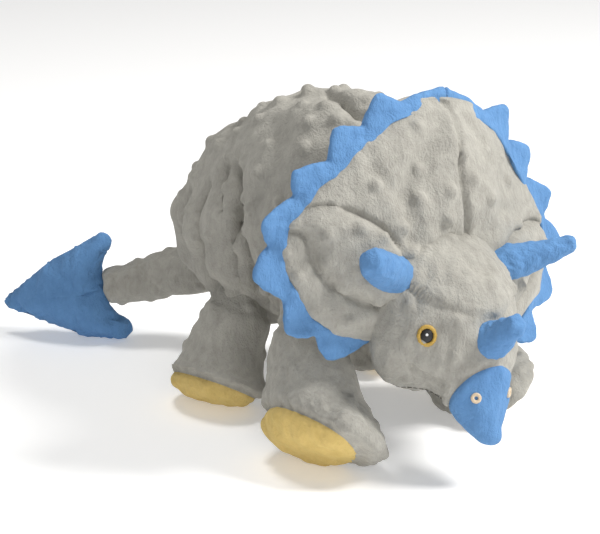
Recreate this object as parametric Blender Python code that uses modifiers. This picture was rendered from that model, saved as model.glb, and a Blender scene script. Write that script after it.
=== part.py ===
"""A stuffed horned dinosaur: sewn plush skins over separate fibre fillings.

The neck, hips, tail and horns turn on round roots, which sit in round sockets.
+X is forward, +Y is the dinosaur's left and +Z is up. Lengths are written in millimetres, and each
mesh and place is turned into metres as it is made.
"""

from math import cos, pi, radians, sin, sqrt

import bmesh
import bpy
from mathutils import Matrix, Vector

MM = 0.001
MERGE = 0.00001

# Fabric and clearances
FABRIC = 1.8
FILL_GAP = 0.45
SEAM_GAP = 0.5
TRIM_GAP = 0.3

# Where the whole dinosaur stands: this brings the middle of its outline to the origin
STAND = Vector((112.2, 0.7, 0.0))

# Joint centres
NECK = Vector((0.0, 0.0, 118.0))
NECK_RADIUS = 21.0
NECK_SHARES = (-0.92, -0.6, 0.0, 0.6, 0.92)
NECK_SLEEVE_END = 11.0
HEAD_ROLL = 6.5
FRILL_ROLL = 13.0
TAIL_ROOT = Vector((-206.0, -6.0, 58.0))
TAIL_RADIUS = 15.0
BLADE_ROOT = Vector((-258.0, -53.0, 38.5))
BLADE_TIP = Vector((-315.0, -102.0, 22.0))
BLADE_RADIUS = 9.5
TAIL_BEND = Vector((-7.0, 7.0, -2.0))
# The tail's half widths and half heights: a quarter of the way, halfway, four fifths of the way, and at its end
TAIL_SIZES = ((16.0, 15.5), (15.5, 15.0), (14.5, 14.0), (13.8, 13.8))
TAIL_END_PAD = 1.2
TAIL_END_RADIUS = 11.5
BLADE_SOCKET = 1.6
# The blade's rings: share of its length, half height, half thickness
BLADE_RINGS = (
    (0.11, 11.0, 8.5),
    (0.15, 35.5, 5.0),
    (0.22, 34.5, 7.5),
    (0.42, 29.0, 9.0),
    (0.70, 16.0, 7.0),
    (0.96, 4.5, 4.0),
)

# Torso: place along X, half width, top and underside
TORSO = (
    (-218.0, 15.0, 106.0, 76.0),
    (-206.0, 33.0, 132.0, 58.0),
    (-182.0, 46.0, 153.0, 46.0),
    (-145.0, 54.0, 179.0, 39.0),
    (-100.0, 56.0, 198.0, 40.0),
    (-58.0, 52.0, 197.0, 48.0),
    (-31.0, 42.0, 187.0, 62.0),
    (-13.0, 28.0, 161.0, 82.0),
)
BELLY_SEAM_HEIGHT = 72.0

# Head, from the neck joint: middle (x, z), direction (x, z), half width, half height
HEAD = (
    ((-6.0, -20.0), (1.0, 0.0), 24.0, 27.0),
    ((4.0, -24.0), (1.0, 0.0), 40.0, 42.0),
    ((19.0, -30.0), (1.0, -0.25), 47.0, 47.0),
    ((36.0, -43.0), (0.85, -0.5), 41.0, 40.0),
    ((53.0, -54.0), (0.72, -0.7), 27.0, 26.0),
    ((60.0, -67.0), (0.4, -0.92), 19.0, 17.0),
    ((68.0, -83.0), (0.3, -0.95), 12.0, 10.5),
    ((74.0, -93.0), (0.2, -0.98), 5.0, 5.0),
)
CROWN_HALF_WIDTH = 17.0
CHIN_SEAM = (Vector((0.0, 0.0, -4.0)), Vector((0.5, 0.0, 0.87)))
BEAK_SEAM = (Vector((73.0, 0.0, -46.0)), Vector((0.84, 0.0, -0.54)))

# Frill, from the neck joint: seam points (half width, height), and how deep its dish is
FRILL_SEAM = (
    (0.0, 89.0),
    (31.5, 84.0),
    (54.5, 68.0),
    (74.5, 47.0),
    (94.0, 25.5),
    (104.5, -3.5),
    (93.0, -31.0),
    (72.0, -49.0),
    (40.0, -54.0),
)
FRILL_MIDDLE = 12.0
FRILL_DISH = 26.0
FRILL_RIM = -9.0
FRILL_LEAN_FROM = -8.0
FRILL_LEAN = 0.36
FRILL_THICK_MIDDLE = 12.0
FRILL_THICK_EDGE = 6.5
FRILL_HOLE = 0.16
TRIM_BAND = 7.0
TRIM_THICKNESS = 5.2
TRIM_TAPER = 11.0
SPIKE_HEIGHT = 13.0
CREST_HEIGHT = 6.0
STEPS_PER_SPIKE = 2

# Horns, from the neck joint: root, tip, root radius and tip radius
BROW_HORN_ROOT = Vector((21.0, 36.0, -5.0))
BROW_HORN_TIP = Vector((45.0, 75.0, 12.5))
BROW_HORN_RADIUS = 11.5
NOSE_HORN_ROOT = Vector((66.0, 0.0, -34.0))
NOSE_HORN_TIP = Vector((87.0, 0.0, -17.0))
NOSE_HORN_RADIUS = 9.5
HORN_SOCKET = 1.2
FRILL_HORN_ROOM = 1.75

# Eyes and nostrils, from the neck joint
EYE = Vector((49.0, 33.0, -33.0))
EYE_RADIUS = 5.4
PUPIL_RADIUS = 3.2
NOSTRIL = Vector((74.0, 11.0, -64.0))
NOSTRIL_RADIUS = 2.2
STITCH_HEIGHT = 1.3

# Legs, all written for the left: hip, knee, ankle, sole middle, sole direction, and half length and half
# width of the sole. The front feet stand at different places, so each has its own.
FRONT_LEFT_LEG = {
    "hip": Vector((-50.0, 43.0, 78.0)),
    "knee": Vector((-46.0, 49.0, 62.0)),
    "ankle": Vector((-36.0, 56.0, 37.0)),
    "sole": Vector((-16.0, 67.0, 14.6)),
    "faces": Vector((0.24, 0.5, -0.83)),
    "size": (41.0, 28.0),
}
FRONT_RIGHT_LEG = {
    "hip": Vector((-50.0, 43.0, 78.0)),
    "knee": Vector((-42.0, 50.0, 62.0)),
    "ankle": Vector((-24.0, 61.0, 42.0)),
    "sole": Vector((3.0, 75.0, 18.4)),
    "faces": Vector((0.26, 0.64, -0.72)),
    "size": (42.0, 30.0),
}
REAR_LEG = {
    "hip": Vector((-124.0, 42.0, 64.0)),
    "knee": Vector((-123.0, 49.0, 49.0)),
    "ankle": Vector((-121.0, 58.0, 29.0)),
    "sole": Vector((-118.0, 66.0, 12.0)),
    "faces": Vector((0.2, 0.45, -0.87)),
    "size": (34.0, 27.0),
}
HIP_RADIUS = 18.5
HIP_SOCKET = 1.2
KNEE_RADIUS = 19.5
SOLE_PAD = 5.0
# The foot's rings along the way it faces, from its middle line: distance, share of length, share of width
FOOT_RINGS = ((-7.0, 1.0, 1.0), (2.0, 0.93, 0.92), (SOLE_PAD, 0.55, 0.55))
SHANK_PLACE = 0.25
SHANK_LENGTH = 0.68
SHANK_WIDTH = 0.85
SOLE_SEAM_ABOVE = 2.0
FLOOR_REACH = 200.0

# Squeaker: a flat bulb in a pocket above the belly
SQUEAKER = Vector((-80.0, 0.0, 72.0))
SQUEAKER_RADIUS = 19.0
SQUEAKER_HEIGHT = 17.0
BULB_WALL = 1.4
REED_RADIUS = 5.0

# Colours, roughness
GREY = ((0.36, 0.35, 0.32), 0.95)
BLUE = ((0.19, 0.37, 0.70), 0.95)
YELLOW = ((0.72, 0.54, 0.22), 0.95)
FIBRE = ((0.86, 0.86, 0.84), 0.9)
GOLD_THREAD = ((0.62, 0.40, 0.07), 0.5)
BLACK_THREAD = ((0.02, 0.02, 0.02), 0.5)
VINYL = ((0.82, 0.80, 0.72), 0.35)

ROUND_SIDES = 6
TORSO_SIDES = 10
BLOCK_SIZE = 500.0
ROOT_SHARES = (-0.85, 0.0)
BALL_TURN = Matrix.Rotation(radians(17.0), 4, Vector((1.0, 2.0, 3.0)).normalized())

object_collection = None
cutter_collection = None
whole = None


def clear_scene():
    for old in list(bpy.data.objects):
        bpy.data.objects.remove(old)


def collection(name):
    made = bpy.data.collections.new(name)
    bpy.context.scene.collection.children.link(made)
    return made


def material(name, look):
    colour, roughness = look
    made = bpy.data.materials.get(name) or bpy.data.materials.new(name)
    made.use_nodes = True
    shader = made.node_tree.nodes["Principled BSDF"]
    shader.inputs["Base Color"].default_value = (*colour, 1.0)
    shader.inputs["Roughness"].default_value = roughness
    shader.inputs["Metallic"].default_value = 0.0
    made.diffuse_color = (*colour, 1.0)
    return made


def empty(name, place, parent=None):
    made = bpy.data.objects.new(name, None)
    object_collection.objects.link(made)
    made.parent = parent
    made.location = place * MM
    return made


def part(name, mesh, origin, look_name, look):
    """One sub-part, with its own copy of a mesh that was made around the parent's origin."""
    made = bpy.data.objects.new(name, mesh.copy())
    made.data.name = name
    made.data.materials.clear()
    made.data.materials.append(material(look_name, look))
    object_collection.objects.link(made)
    made.parent = origin
    return made


def cutter(name, mesh, origin):
    made = bpy.data.objects.new(name, mesh)
    cutter_collection.objects.link(made)
    made.parent = origin
    made.hide_render = True
    made.display_type = "WIRE"
    return made


def frame_across(axis, across):
    """Two unit directions square to the axis, the first as near as it can be to across."""
    first = (across - across.project(axis)).normalized()
    return first, axis.normalized().cross(first)


def ring(middle, axis, across, half_width, half_height, sides=ROUND_SIDES):
    """An oval of points around the middle, widened so that the subdivided surface has the stated size."""
    swell = 1.0 / (2.0 / 3.0 + cos(2.0 * pi / sides) / 3.0)
    wide, high = frame_across(axis, across)
    turns = [2.0 * pi * (n + 0.5) / sides for n in range(sides)]
    return [
        middle + wide * half_width * swell * cos(turn) + high * half_height * swell * sin(turn)
        for turn in turns
    ]


def mesh_from(name, build):
    mesh = bpy.data.meshes.new(name)
    shape = bmesh.new()
    build(shape)
    bmesh.ops.transform(shape, matrix=Matrix.Scale(MM, 4), verts=shape.verts)
    bmesh.ops.recalc_face_normals(shape, faces=shape.faces)
    shape.to_mesh(mesh)
    shape.free()
    mesh.shade_smooth()
    return mesh


def cage(name, rings):
    """A closed cage that joins one ring of points to the next, with a flat face at each end."""

    def build(shape):
        loops = [[shape.verts.new(point) for point in points] for points in rings]
        for near, far in zip(loops, loops[1:]):
            for n in range(len(near)):
                following = (n + 1) % len(near)
                shape.faces.new((near[n], near[following], far[following], far[n]))
        shape.faces.new(loops[0])
        shape.faces.new(loops[-1])

    return mesh_from(name, build)


def ball_mesh(name, middle, radius):
    def build(shape):
        bmesh.ops.create_icosphere(
            shape, subdivisions=2, radius=radius, matrix=Matrix.Translation(middle) @ BALL_TURN
        )

    return mesh_from(name, build)


def block_mesh(name, point, normal, size=BLOCK_SIZE):
    """A large cube that fills the side of a plane that the normal points to."""
    direction = Vector(normal).normalized()
    turn = direction.to_track_quat("Z", "Y").to_matrix().to_4x4()
    place = Matrix.Translation(Vector(point) + direction * size / 2.0)

    def build(shape):
        bmesh.ops.create_cube(shape, size=size, matrix=place @ turn)

    return mesh_from(name, build)


def box_mesh(name, low, high):
    middle = (Vector(low) + Vector(high)) / 2.0
    size = Vector(high) - Vector(low)

    def build(shape):
        bmesh.ops.create_cube(
            shape, size=1.0, matrix=Matrix.Translation(middle) @ Matrix.Diagonal((*size, 1.0))
        )

    return mesh_from(name, build)


def disc_mesh(name, middle, normal, radius, height, segments=14):
    turn = Vector(normal).to_track_quat("Z", "Y").to_matrix().to_4x4()

    def build(shape):
        bmesh.ops.create_cone(
            shape,
            cap_ends=True,
            segments=segments,
            radius1=radius,
            radius2=radius,
            depth=height,
            matrix=Matrix.Translation(middle) @ turn,
        )

    return mesh_from(name, build)


def subdivide(made, level=1):
    smooth = made.modifiers.new("soft", "SUBSURF")
    smooth.levels = level
    smooth.render_levels = level


def move_along_normals(made, distance):
    push = made.modifiers.new("offset", "DISPLACE")
    push.strength = distance * MM
    push.mid_level = 0.0


def cut(made, tool, operation="DIFFERENCE", solver="EXACT"):
    boolean = made.modifiers.new(tool.name, "BOOLEAN")
    boolean.operation = operation
    boolean.object = tool
    boolean.solver = solver
    if solver == "EXACT":
        boolean.use_self = True


def skin(name, mesh, origin, look_name, look, keep=(), remove=(), solver="EXACT"):
    """A fabric panel: the subdivided form made into a shell, then cut to its own share."""
    made = part(name, mesh, origin, look_name, look)
    subdivide(made)
    wall = made.modifiers.new("fabric", "SOLIDIFY")
    wall.thickness = FABRIC * MM
    wall.offset = -1.0
    for tool in keep:
        cut(made, tool, "INTERSECT", solver)
    for tool in remove:
        cut(made, tool, "DIFFERENCE", solver)
    return made


def filling(name, mesh, origin, remove=()):
    """The fibre inside a form, a small gap within its skin."""
    made = part(name, mesh, origin, "fibre", FIBRE)
    subdivide(made)
    move_along_normals(made, -(FABRIC + FILL_GAP))
    for tool in remove:
        cut(made, tool)
    return made


def mirrored(vector):
    return Vector((vector.x, -vector.y, vector.z))


def blend(a, b, share):
    return a + (b - a) * share


def root_rings(way, side, radius):
    """The rings of a round root about a joint, from its inner end to its widest place."""
    rings = []
    for share in ROOT_SHARES:
        across = radius * sqrt(1.0 - share * share)
        rings.append(ring(way * radius * share, way, side, across, across))
    return rings


# --- torso ---------------------------------------------------------------


def torso_cage():
    forward = Vector((1.0, 0.0, 0.0))
    side = Vector((0.0, 1.0, 0.0))
    rings = []
    for place, half_width, top, underside in TORSO:
        middle = Vector((place, 0.0, (top + underside) / 2.0))
        half_height = (top - underside) / 2.0
        rings.append(ring(middle, forward, side, half_width, half_height, TORSO_SIDES))
    return cage("torso_form", rings)


def make_torso(sockets):
    form = torso_cage()
    half = SEAM_GAP / 2.0
    left = cutter("left_half", block_mesh("left_half", (0, half, 0), (0, 1, 0)), whole)
    right = cutter("right_half", block_mesh("right_half", (0, -half, 0), (0, -1, 0)), whole)
    above = cutter(
        "above_belly_seam",
        block_mesh("above_belly_seam", (0, 0, BELLY_SEAM_HEIGHT + half), (0, 0, 1)),
        whole,
    )
    below = cutter(
        "below_belly_seam",
        block_mesh("below_belly_seam", (0, 0, BELLY_SEAM_HEIGHT - half), (0, 0, -1)),
        whole,
    )
    skin("back_panel_left", form, whole, "grey_plush", GREY, (left, above), sockets)
    skin("back_panel_right", form, whole, "grey_plush", GREY, (right, above), sockets)
    skin("belly_panel", form, whole, "grey_plush", GREY, (below,), sockets)
    room = SQUEAKER_RADIUS + 1.5
    pocket_top = SQUEAKER + Vector((room, room, SQUEAKER_HEIGHT + 1.5))
    pocket_low = SQUEAKER - Vector((room, room, 60.0))
    pocket = cutter("squeaker_pocket", box_mesh("squeaker_pocket", pocket_low, pocket_top), whole)
    filling("torso_filling", form, whole, (*sockets, pocket))


def turned(name, profile, steps, look_name, look, origin, place):
    """A closed profile of (radius, height) points, turned about the upright axis."""
    mesh = bpy.data.meshes.new(name)
    shape = bmesh.new()
    points = [shape.verts.new((radius * MM, 0.0, height * MM)) for radius, height in profile]
    for near, far in zip(points, points[1:]):
        shape.edges.new((near, far))
    shape.to_mesh(mesh)
    shape.free()
    made = part(name, mesh, origin, look_name, look)
    made.location = place * MM
    spin = made.modifiers.new("turn", "SCREW")
    spin.steps = steps
    spin.render_steps = steps
    spin.use_merge_vertices = True
    spin.merge_threshold = MERGE
    spin.use_normal_calculate = True
    return made


def make_squeaker():
    """A moulded bulb, open at its middle for the reed that sounds when the belly is pressed."""
    radius, height, wall = SQUEAKER_RADIUS, SQUEAKER_HEIGHT, BULB_WALL
    throat = REED_RADIUS + TRIM_GAP
    outside = [
        (throat, height),
        (radius * 0.6, height - 0.8),
        (radius * 0.9, height * 0.75),
        (radius, height * 0.5),
        (radius * 0.9, height * 0.25),
        (radius * 0.6, 0.8),
        (0.0, 0.0),
    ]
    inside = [
        (0.0, wall),
        (radius * 0.6 - 0.4, wall + 0.8),
        (radius * 0.9 - wall, height * 0.25 + 0.5),
        (radius - wall, height * 0.5),
        (radius * 0.9 - wall, height * 0.75 - 0.5),
        (radius * 0.6 - 0.4, height - wall - 0.8),
        (throat, height - wall),
        (throat, height),
    ]
    turned("squeaker_bulb", outside + inside, 16, "vinyl", VINYL, whole, SQUEAKER)
    reed = [
        (0.0, height + 0.9),
        (REED_RADIUS + 1.6, height + 0.9),
        (REED_RADIUS + 1.6, height + TRIM_GAP),
        (REED_RADIUS, height + TRIM_GAP),
        (REED_RADIUS, height - 6.0),
        (0.0, height - 6.0),
    ]
    made = turned("squeaker_reed", reed, 12, "vinyl", VINYL, whole, SQUEAKER)
    made.modifiers["turn"].use_normal_flip = True


# --- neck ----------------------------------------------------------------


def make_neck(neck):
    """A short stuffed neck, round so that the head nods on it and it turns in the shoulders."""
    axis = Vector((1.0, 0.0, 0.0))
    side = Vector((0.0, 1.0, 0.0))
    rings = []
    for share in NECK_SHARES:
        radius = NECK_RADIUS * sqrt(1.0 - share * share)
        rings.append(ring(axis * NECK_RADIUS * share, axis, side, radius, radius))
    form = cage("neck_form", rings)
    front = cutter("neck_front", block_mesh("neck_front", (NECK_SLEEVE_END, 0, 0), (-1, 0, 0)), neck)
    skin("neck_sleeve", form, neck, "grey_plush", GREY, (front,))
    filling("neck_filling", form, neck)


# --- legs ----------------------------------------------------------------


def leg_cage(leg, hip):
    """A leg about its hip: a round root, a straight shank and a wide foot that ends in a padded sole."""
    forward = Vector((1.0, 0.0, 0.0))
    sole_length, sole_width = leg["size"]
    knee, ankle, sole = (leg[place] - hip for place in ("knee", "ankle", "sole"))
    down = knee.normalized()
    foot = leg["faces"].normalized()
    rings = root_rings(down, forward, HIP_RADIUS)
    rings.append(ring(knee, down, forward, KNEE_RADIUS, KNEE_RADIUS))
    shank = blend(ankle, sole, SHANK_PLACE)
    halfway = blend(down, foot, 0.5)
    rings.append(ring(shank, halfway, forward, sole_length * SHANK_LENGTH, sole_width * SHANK_WIDTH))
    for distance, length_share, width_share in FOOT_RINGS:
        middle = sole + foot * distance
        rings.append(ring(middle, foot, forward, sole_length * length_share, sole_width * width_share))
    return cage("leg_form", rings)


def right_leg(leg):
    return {key: mirrored(value) if isinstance(value, Vector) else value for key, value in leg.items()}


def make_leg(name, leg):
    hip = empty(name + "_hip", leg["hip"], whole)
    form = leg_cage(leg, leg["hip"])
    ground = -leg["hip"].z
    low = (-FLOOR_REACH, -FLOOR_REACH, ground - FLOOR_REACH)
    high = (FLOOR_REACH, FLOOR_REACH, ground)
    floor = cutter(name + "_floor", box_mesh(name + "_floor", low, high), hip)
    foot = leg["faces"].normalized()
    seam = leg["sole"] - leg["hip"] - foot * SOLE_SEAM_ABOVE
    gap = foot * SEAM_GAP / 2.0
    upper = cutter(name + "_upper", block_mesh(name + "_upper", seam - gap, -foot), hip)
    under = cutter(name + "_under", block_mesh(name + "_under", seam + gap, foot), hip)
    skin(name + "_leg_skin", form, hip, "grey_plush", GREY, (upper,), (floor,))
    skin(name + "_sole", form, hip, "yellow_plush", YELLOW, (under,), (floor,))
    filling(name + "_leg_filling", form, hip)


# --- tail ----------------------------------------------------------------


def make_tail(tail):
    """A bent tube with a round root, hollowed at its far end for the blade's root."""
    side = Vector((0.0, 0.0, 1.0))
    end = BLADE_ROOT - TAIL_ROOT
    middle = end * 0.5 + TAIL_BEND
    start_way = middle.normalized()
    end_way = (end - middle).normalized()
    rings = root_rings(start_way, side, TAIL_RADIUS)
    places = (middle * 0.5, middle, blend(middle, end, 0.6), end)
    ways = (start_way, end - middle * 0.4, end_way, end_way)
    for place, way, size in zip(places, ways, TAIL_SIZES):
        rings.append(ring(place, way, side, *size))
    rings.append(ring(end + end_way * TAIL_END_PAD, end_way, side, TAIL_END_RADIUS, TAIL_END_RADIUS))
    form = cage("tail_form", rings)
    socket = cutter("blade_socket", ball_mesh("blade_socket", end, BLADE_RADIUS + BLADE_SOCKET), tail)
    skin("tail_skin", form, tail, "grey_plush", GREY, (), (socket,))
    filling("tail_filling", form, tail, (socket,))


def make_blade(blade):
    """The flat barbed end of the tail, upright, in two faces with a filling between them."""
    reach = BLADE_TIP - BLADE_ROOT
    way = reach.normalized()
    up = Vector((0.0, 0.0, 1.0))
    length = reach.length
    rings = root_rings(way, up, BLADE_RADIUS)
    for share, half_height, half_thickness in BLADE_RINGS:
        rings.append(ring(way * length * share, way, up, half_height, half_thickness))
    form = cage("blade_form", rings)
    across = way.cross(up).normalized()
    gap = across * SEAM_GAP / 2.0
    near = cutter("blade_near", block_mesh("blade_near", gap, across), blade)
    far = cutter("blade_far", block_mesh("blade_far", -gap, -across), blade)
    skin("tail_blade_face_right", form, blade, "blue_plush", BLUE, (near,))
    skin("tail_blade_face_left", form, blade, "blue_plush", BLUE, (far,))
    filling("tail_blade_filling", form, blade)


# --- horns ---------------------------------------------------------------


def make_horn(name, root, tip, radius, origin):
    """A tapered blue horn with a round root, at its own joint."""
    joint = empty(name + "_root", root, origin)
    reach = tip - root
    way = reach.normalized()
    side = Vector((0.0, 0.0, 1.0)) if abs(way.z) < 0.9 else Vector((0.0, 1.0, 0.0))
    rings = root_rings(way, side, radius)
    for share, width in ((0.2, 0.93), (0.6, 0.7), (0.9, 0.46), (1.0, 0.22)):
        rings.append(ring(reach * share, way, side, radius * width, radius * width))
    form = cage(name + "_form", rings)
    root_side = cutter(name + "_mouth", block_mesh(name + "_mouth", -way * radius * 0.5, way), joint)
    skin(name + "_skin", form, joint, "blue_plush", BLUE, (root_side,))
    filling(name + "_filling", form, joint)
    return joint


# --- head ----------------------------------------------------------------


def head_cage():
    side = Vector((0.0, 1.0, 0.0))
    rings = []
    for (x, z), (dx, dz), half_width, half_height in HEAD:
        axis = Vector((dx, 0.0, dz))
        rings.append(ring(Vector((x, 0.0, z)), axis, side, half_width, half_height, TORSO_SIDES))
    return cage("head_form", rings)


def make_head(head, head_sockets):
    form = head_cage()
    point, normal = BEAK_SEAM
    gap = SEAM_GAP / 2.0
    way = normal.normalized()
    beak = cutter("beak_side", block_mesh("beak_side", point + way * gap, way), head)
    face = cutter("face_side", block_mesh("face_side", point - way * gap, -way), head)
    wide = CROWN_HALF_WIDTH
    band = cutter("head_band", box_mesh("head_band", (-200, -wide, -200), (200, wide, 200)), head)
    point, normal = CHIN_SEAM
    way = normal.normalized()
    crown = cutter("crown_side", block_mesh("crown_side", point + way * gap, way), head)
    chin = cutter("chin_side", block_mesh("chin_side", point - way * gap, -way), head)
    edge = wide + SEAM_GAP
    left = cutter("head_left", block_mesh("head_left", (0, edge, 0), (0, 1, 0)), head)
    right = cutter("head_right", block_mesh("head_right", (0, -edge, 0), (0, -1, 0)), head)
    grey = ("grey_plush", GREY)
    skin("crown_panel", form, head, *grey, (face, band, crown), head_sockets)
    skin("chin_panel", form, head, *grey, (face, band, chin), head_sockets)
    skin("cheek_left", form, head, *grey, (face, left), head_sockets)
    skin("cheek_right", form, head, *grey, (face, right), head_sockets, "MANIFOLD")
    skin("beak_skin", form, head, "blue_plush", BLUE, (beak,), head_sockets[1:])
    filling("head_filling", form, head, head_sockets)
    clear = cutter("head_clearance", form.copy(), head)
    subdivide(clear)
    move_along_normals(clear, TRIM_GAP)
    return clear


def surface_near(form_object, place):
    """The nearest point of a helper's surface, and the way it faces there."""
    graph = bpy.context.evaluated_depsgraph_get()
    graph.update()
    evaluated = form_object.evaluated_get(graph)
    _, point, normal, _ = evaluated.closest_point_on_mesh(place * MM)
    return point / MM, normal


def make_face_details(head, clear):
    """Embroidered eyes and nostrils, which lie on the plush and are shaped to it."""
    for side, word in ((1, "left"), (-1, "right")):
        eye = EYE if side > 0 else mirrored(EYE)
        point, normal = surface_near(clear, eye)
        height = 2.0 * STITCH_HEIGHT
        iris = part(
            "eye_ring_" + word,
            disc_mesh("iris", point, normal, EYE_RADIUS, height),
            head,
            "gold_thread",
            GOLD_THREAD,
        )
        hole = cutter(
            "pupil_hole_" + word,
            disc_mesh("pupil_hole", point, normal, PUPIL_RADIUS + TRIM_GAP, height * 3.0),
            head,
        )
        cut(iris, hole)
        cut(iris, clear)
        pupil = part(
            "pupil_" + word,
            disc_mesh("pupil", point, normal, PUPIL_RADIUS, height + 0.6),
            head,
            "black_thread",
            BLACK_THREAD,
        )
        cut(pupil, clear)
        nose = NOSTRIL if side > 0 else mirrored(NOSTRIL)
        point, normal = surface_near(clear, nose)
        nostril = part(
            "nostril_" + word,
            disc_mesh("nostril", point, normal, NOSTRIL_RADIUS, height),
            head,
            "gold_thread",
            GOLD_THREAD,
        )
        cut(nostril, clear)


# --- frill ---------------------------------------------------------------


def seam_path():
    """The frill's seam from the bottom right, over the top, to the bottom left, through its hand-set points."""
    left = [Vector(point) for point in FRILL_SEAM]
    points = [Vector((-p.x, p.y)) for p in reversed(left[1:])] + left
    path = []
    for n in range(len(points) - 1):
        before = points[max(n - 1, 0)]
        near, far = points[n], points[n + 1]
        after = points[min(n + 2, len(points) - 1)]
        for step in range(STEPS_PER_SPIKE):
            t = step / STEPS_PER_SPIKE
            path.append(
                0.5
                * (
                    2.0 * near
                    + (far - before) * t
                    + (2.0 * before - 5.0 * near + 4.0 * far - after) * t * t
                    + (3.0 * near - before - 3.0 * far + after) * t**3
                )
            )
    path.append(points[-1])
    return path


def dish(share, height):
    """How far forward the frill's middle layer stands, at a share of the way out to its seam."""
    lean = FRILL_LEAN * max(FRILL_LEAN_FROM - height, 0.0)
    return FRILL_RIM + FRILL_DISH * (1.0 - share * share) + lean


def layer(name, outline, low, high, near, far, rows, origin, look_name, look, closed=True):
    """A closed sheet over part of the frill's oval.

    low and high are shares of the way from the frill's middle to each outline point.
    near and far give the front and back surfaces, as a place along X.
    """
    centre = Vector((0.0, FRILL_MIDDLE))

    def build(shape):
        front, back = [], []
        for row in range(rows + 1):
            line_front, line_back = [], []
            for n, edge in enumerate(outline):
                share = low[n] + (high[n] - low[n]) * row / rows
                flat = centre + (edge - centre) * share
                line_front.append(shape.verts.new((near(share, flat.y), flat.x, flat.y)))
                line_back.append(shape.verts.new((far(share, flat.y), flat.x, flat.y)))
            front.append(line_front)
            back.append(line_back)
        count = len(outline)
        last = count if closed else count - 1
        for row in range(rows):
            for n in range(last):
                m = (n + 1) % count
                shape.faces.new((front[row][n], front[row][m], front[row + 1][m], front[row + 1][n]))
                shape.faces.new((back[row][n], back[row + 1][n], back[row + 1][m], back[row][m]))
        for n in range(last):
            m = (n + 1) % count
            shape.faces.new((front[0][n], back[0][n], back[0][m], front[0][m]))
            shape.faces.new((front[rows][n], front[rows][m], back[rows][m], back[rows][n]))
        if not closed:
            for n in (0, count - 1):
                for row in range(rows):
                    corners = (front[row][n], front[row + 1][n], back[row + 1][n], back[row][n])
                    shape.faces.new(corners)

    return part(name, mesh_from(name, build), origin, look_name, look)


def make_frill(frill, clearances):
    path = seam_path()
    bottom = [blend(path[-1], path[0], n / 6.0) for n in range(1, 6)]
    bottom = [Vector((p.x, p.y - 5.0 * (1.0 - (p.x / 34.0) ** 2))) for p in bottom]
    around = path + bottom
    centre = Vector((0.0, FRILL_MIDDLE))
    inset = [1.0 - TRIM_BAND / (edge - centre).length for edge in around]

    def thickness(share):
        return FRILL_THICK_MIDDLE + (FRILL_THICK_EDGE - FRILL_THICK_MIDDLE) * share * share

    def front_face(share, height):
        return dish(share, height) + thickness(share) / 2.0

    def back_face(share, height):
        return dish(share, height) - thickness(share) / 2.0

    inner = [FRILL_HOLE] * len(around)
    fill = FABRIC + 2.0 * FILL_GAP
    pieces = [
        layer(
            "frill_front_panel",
            around,
            inner,
            inset,
            front_face,
            lambda share, height: front_face(share, height) - FABRIC,
            3,
            frill,
            "grey_plush",
            GREY,
        ),
        layer(
            "frill_back_panel",
            around,
            inner,
            inset,
            lambda share, height: back_face(share, height) + FABRIC,
            back_face,
            3,
            frill,
            "grey_plush",
            GREY,
        ),
        layer(
            "frill_filling",
            around,
            inner,
            inset,
            lambda share, height: front_face(share, height) - fill,
            lambda share, height: back_face(share, height) + fill,
            3,
            frill,
            "fibre",
            FIBRE,
        ),
    ]
    pieces += make_spikes(path, inset, frill)
    for piece in pieces:
        for tool in clearances:
            cut(piece, tool)


def make_spikes(path, inset, frill):
    """The blue trim around the frill, in two strips that meet at the crest, with a row of soft spikes."""
    centre = Vector((0.0, FRILL_MIDDLE))
    spike = []
    count = len(path)
    for n, edge in enumerate(path):
        reach = (edge - centre).length
        beat = (n / STEPS_PER_SPIKE) % 1.0
        rise = 1.0 - abs(2.0 * beat - 1.0)
        height = SPIKE_HEIGHT
        if abs(n - (count - 1) / 2.0) <= STEPS_PER_SPIKE:
            rise = 1.0 - abs(n - (count - 1) / 2.0) / STEPS_PER_SPIKE
            height = CREST_HEIGHT
        spike.append(1.0 + height * rise / reach)

    def half_thickness(share):
        return TRIM_THICKNESS / 2.0 - TRIM_TAPER * max(share - 1.0, 0.0)

    top = (count - 1) // 2
    middle = SEAM_GAP / 110.0
    strips = {
        "spike_trim_right": range(0, top + 1),
        "spike_trim_left": range(top, count),
    }
    made = []
    for name, picked in strips.items():
        outline = [path[n].copy() for n in picked]
        sign = -1.0 if name.endswith("right") else 1.0
        for edge in outline:
            if abs(edge.x) < 0.01:
                edge.x = sign * SEAM_GAP / 2.0
        low = [inset[n] + middle for n in picked]
        high = [spike[n] for n in picked]
        strip = layer(
            name,
            outline,
            low,
            high,
            lambda share, height: dish(min(share, 1.0), height) + half_thickness(share),
            lambda share, height: dish(min(share, 1.0), height) - half_thickness(share),
            2,
            frill,
            "blue_plush",
            BLUE,
            closed=False,
        )
        made.append(strip)
    return made


# --- the whole object ----------------------------------------------------


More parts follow.
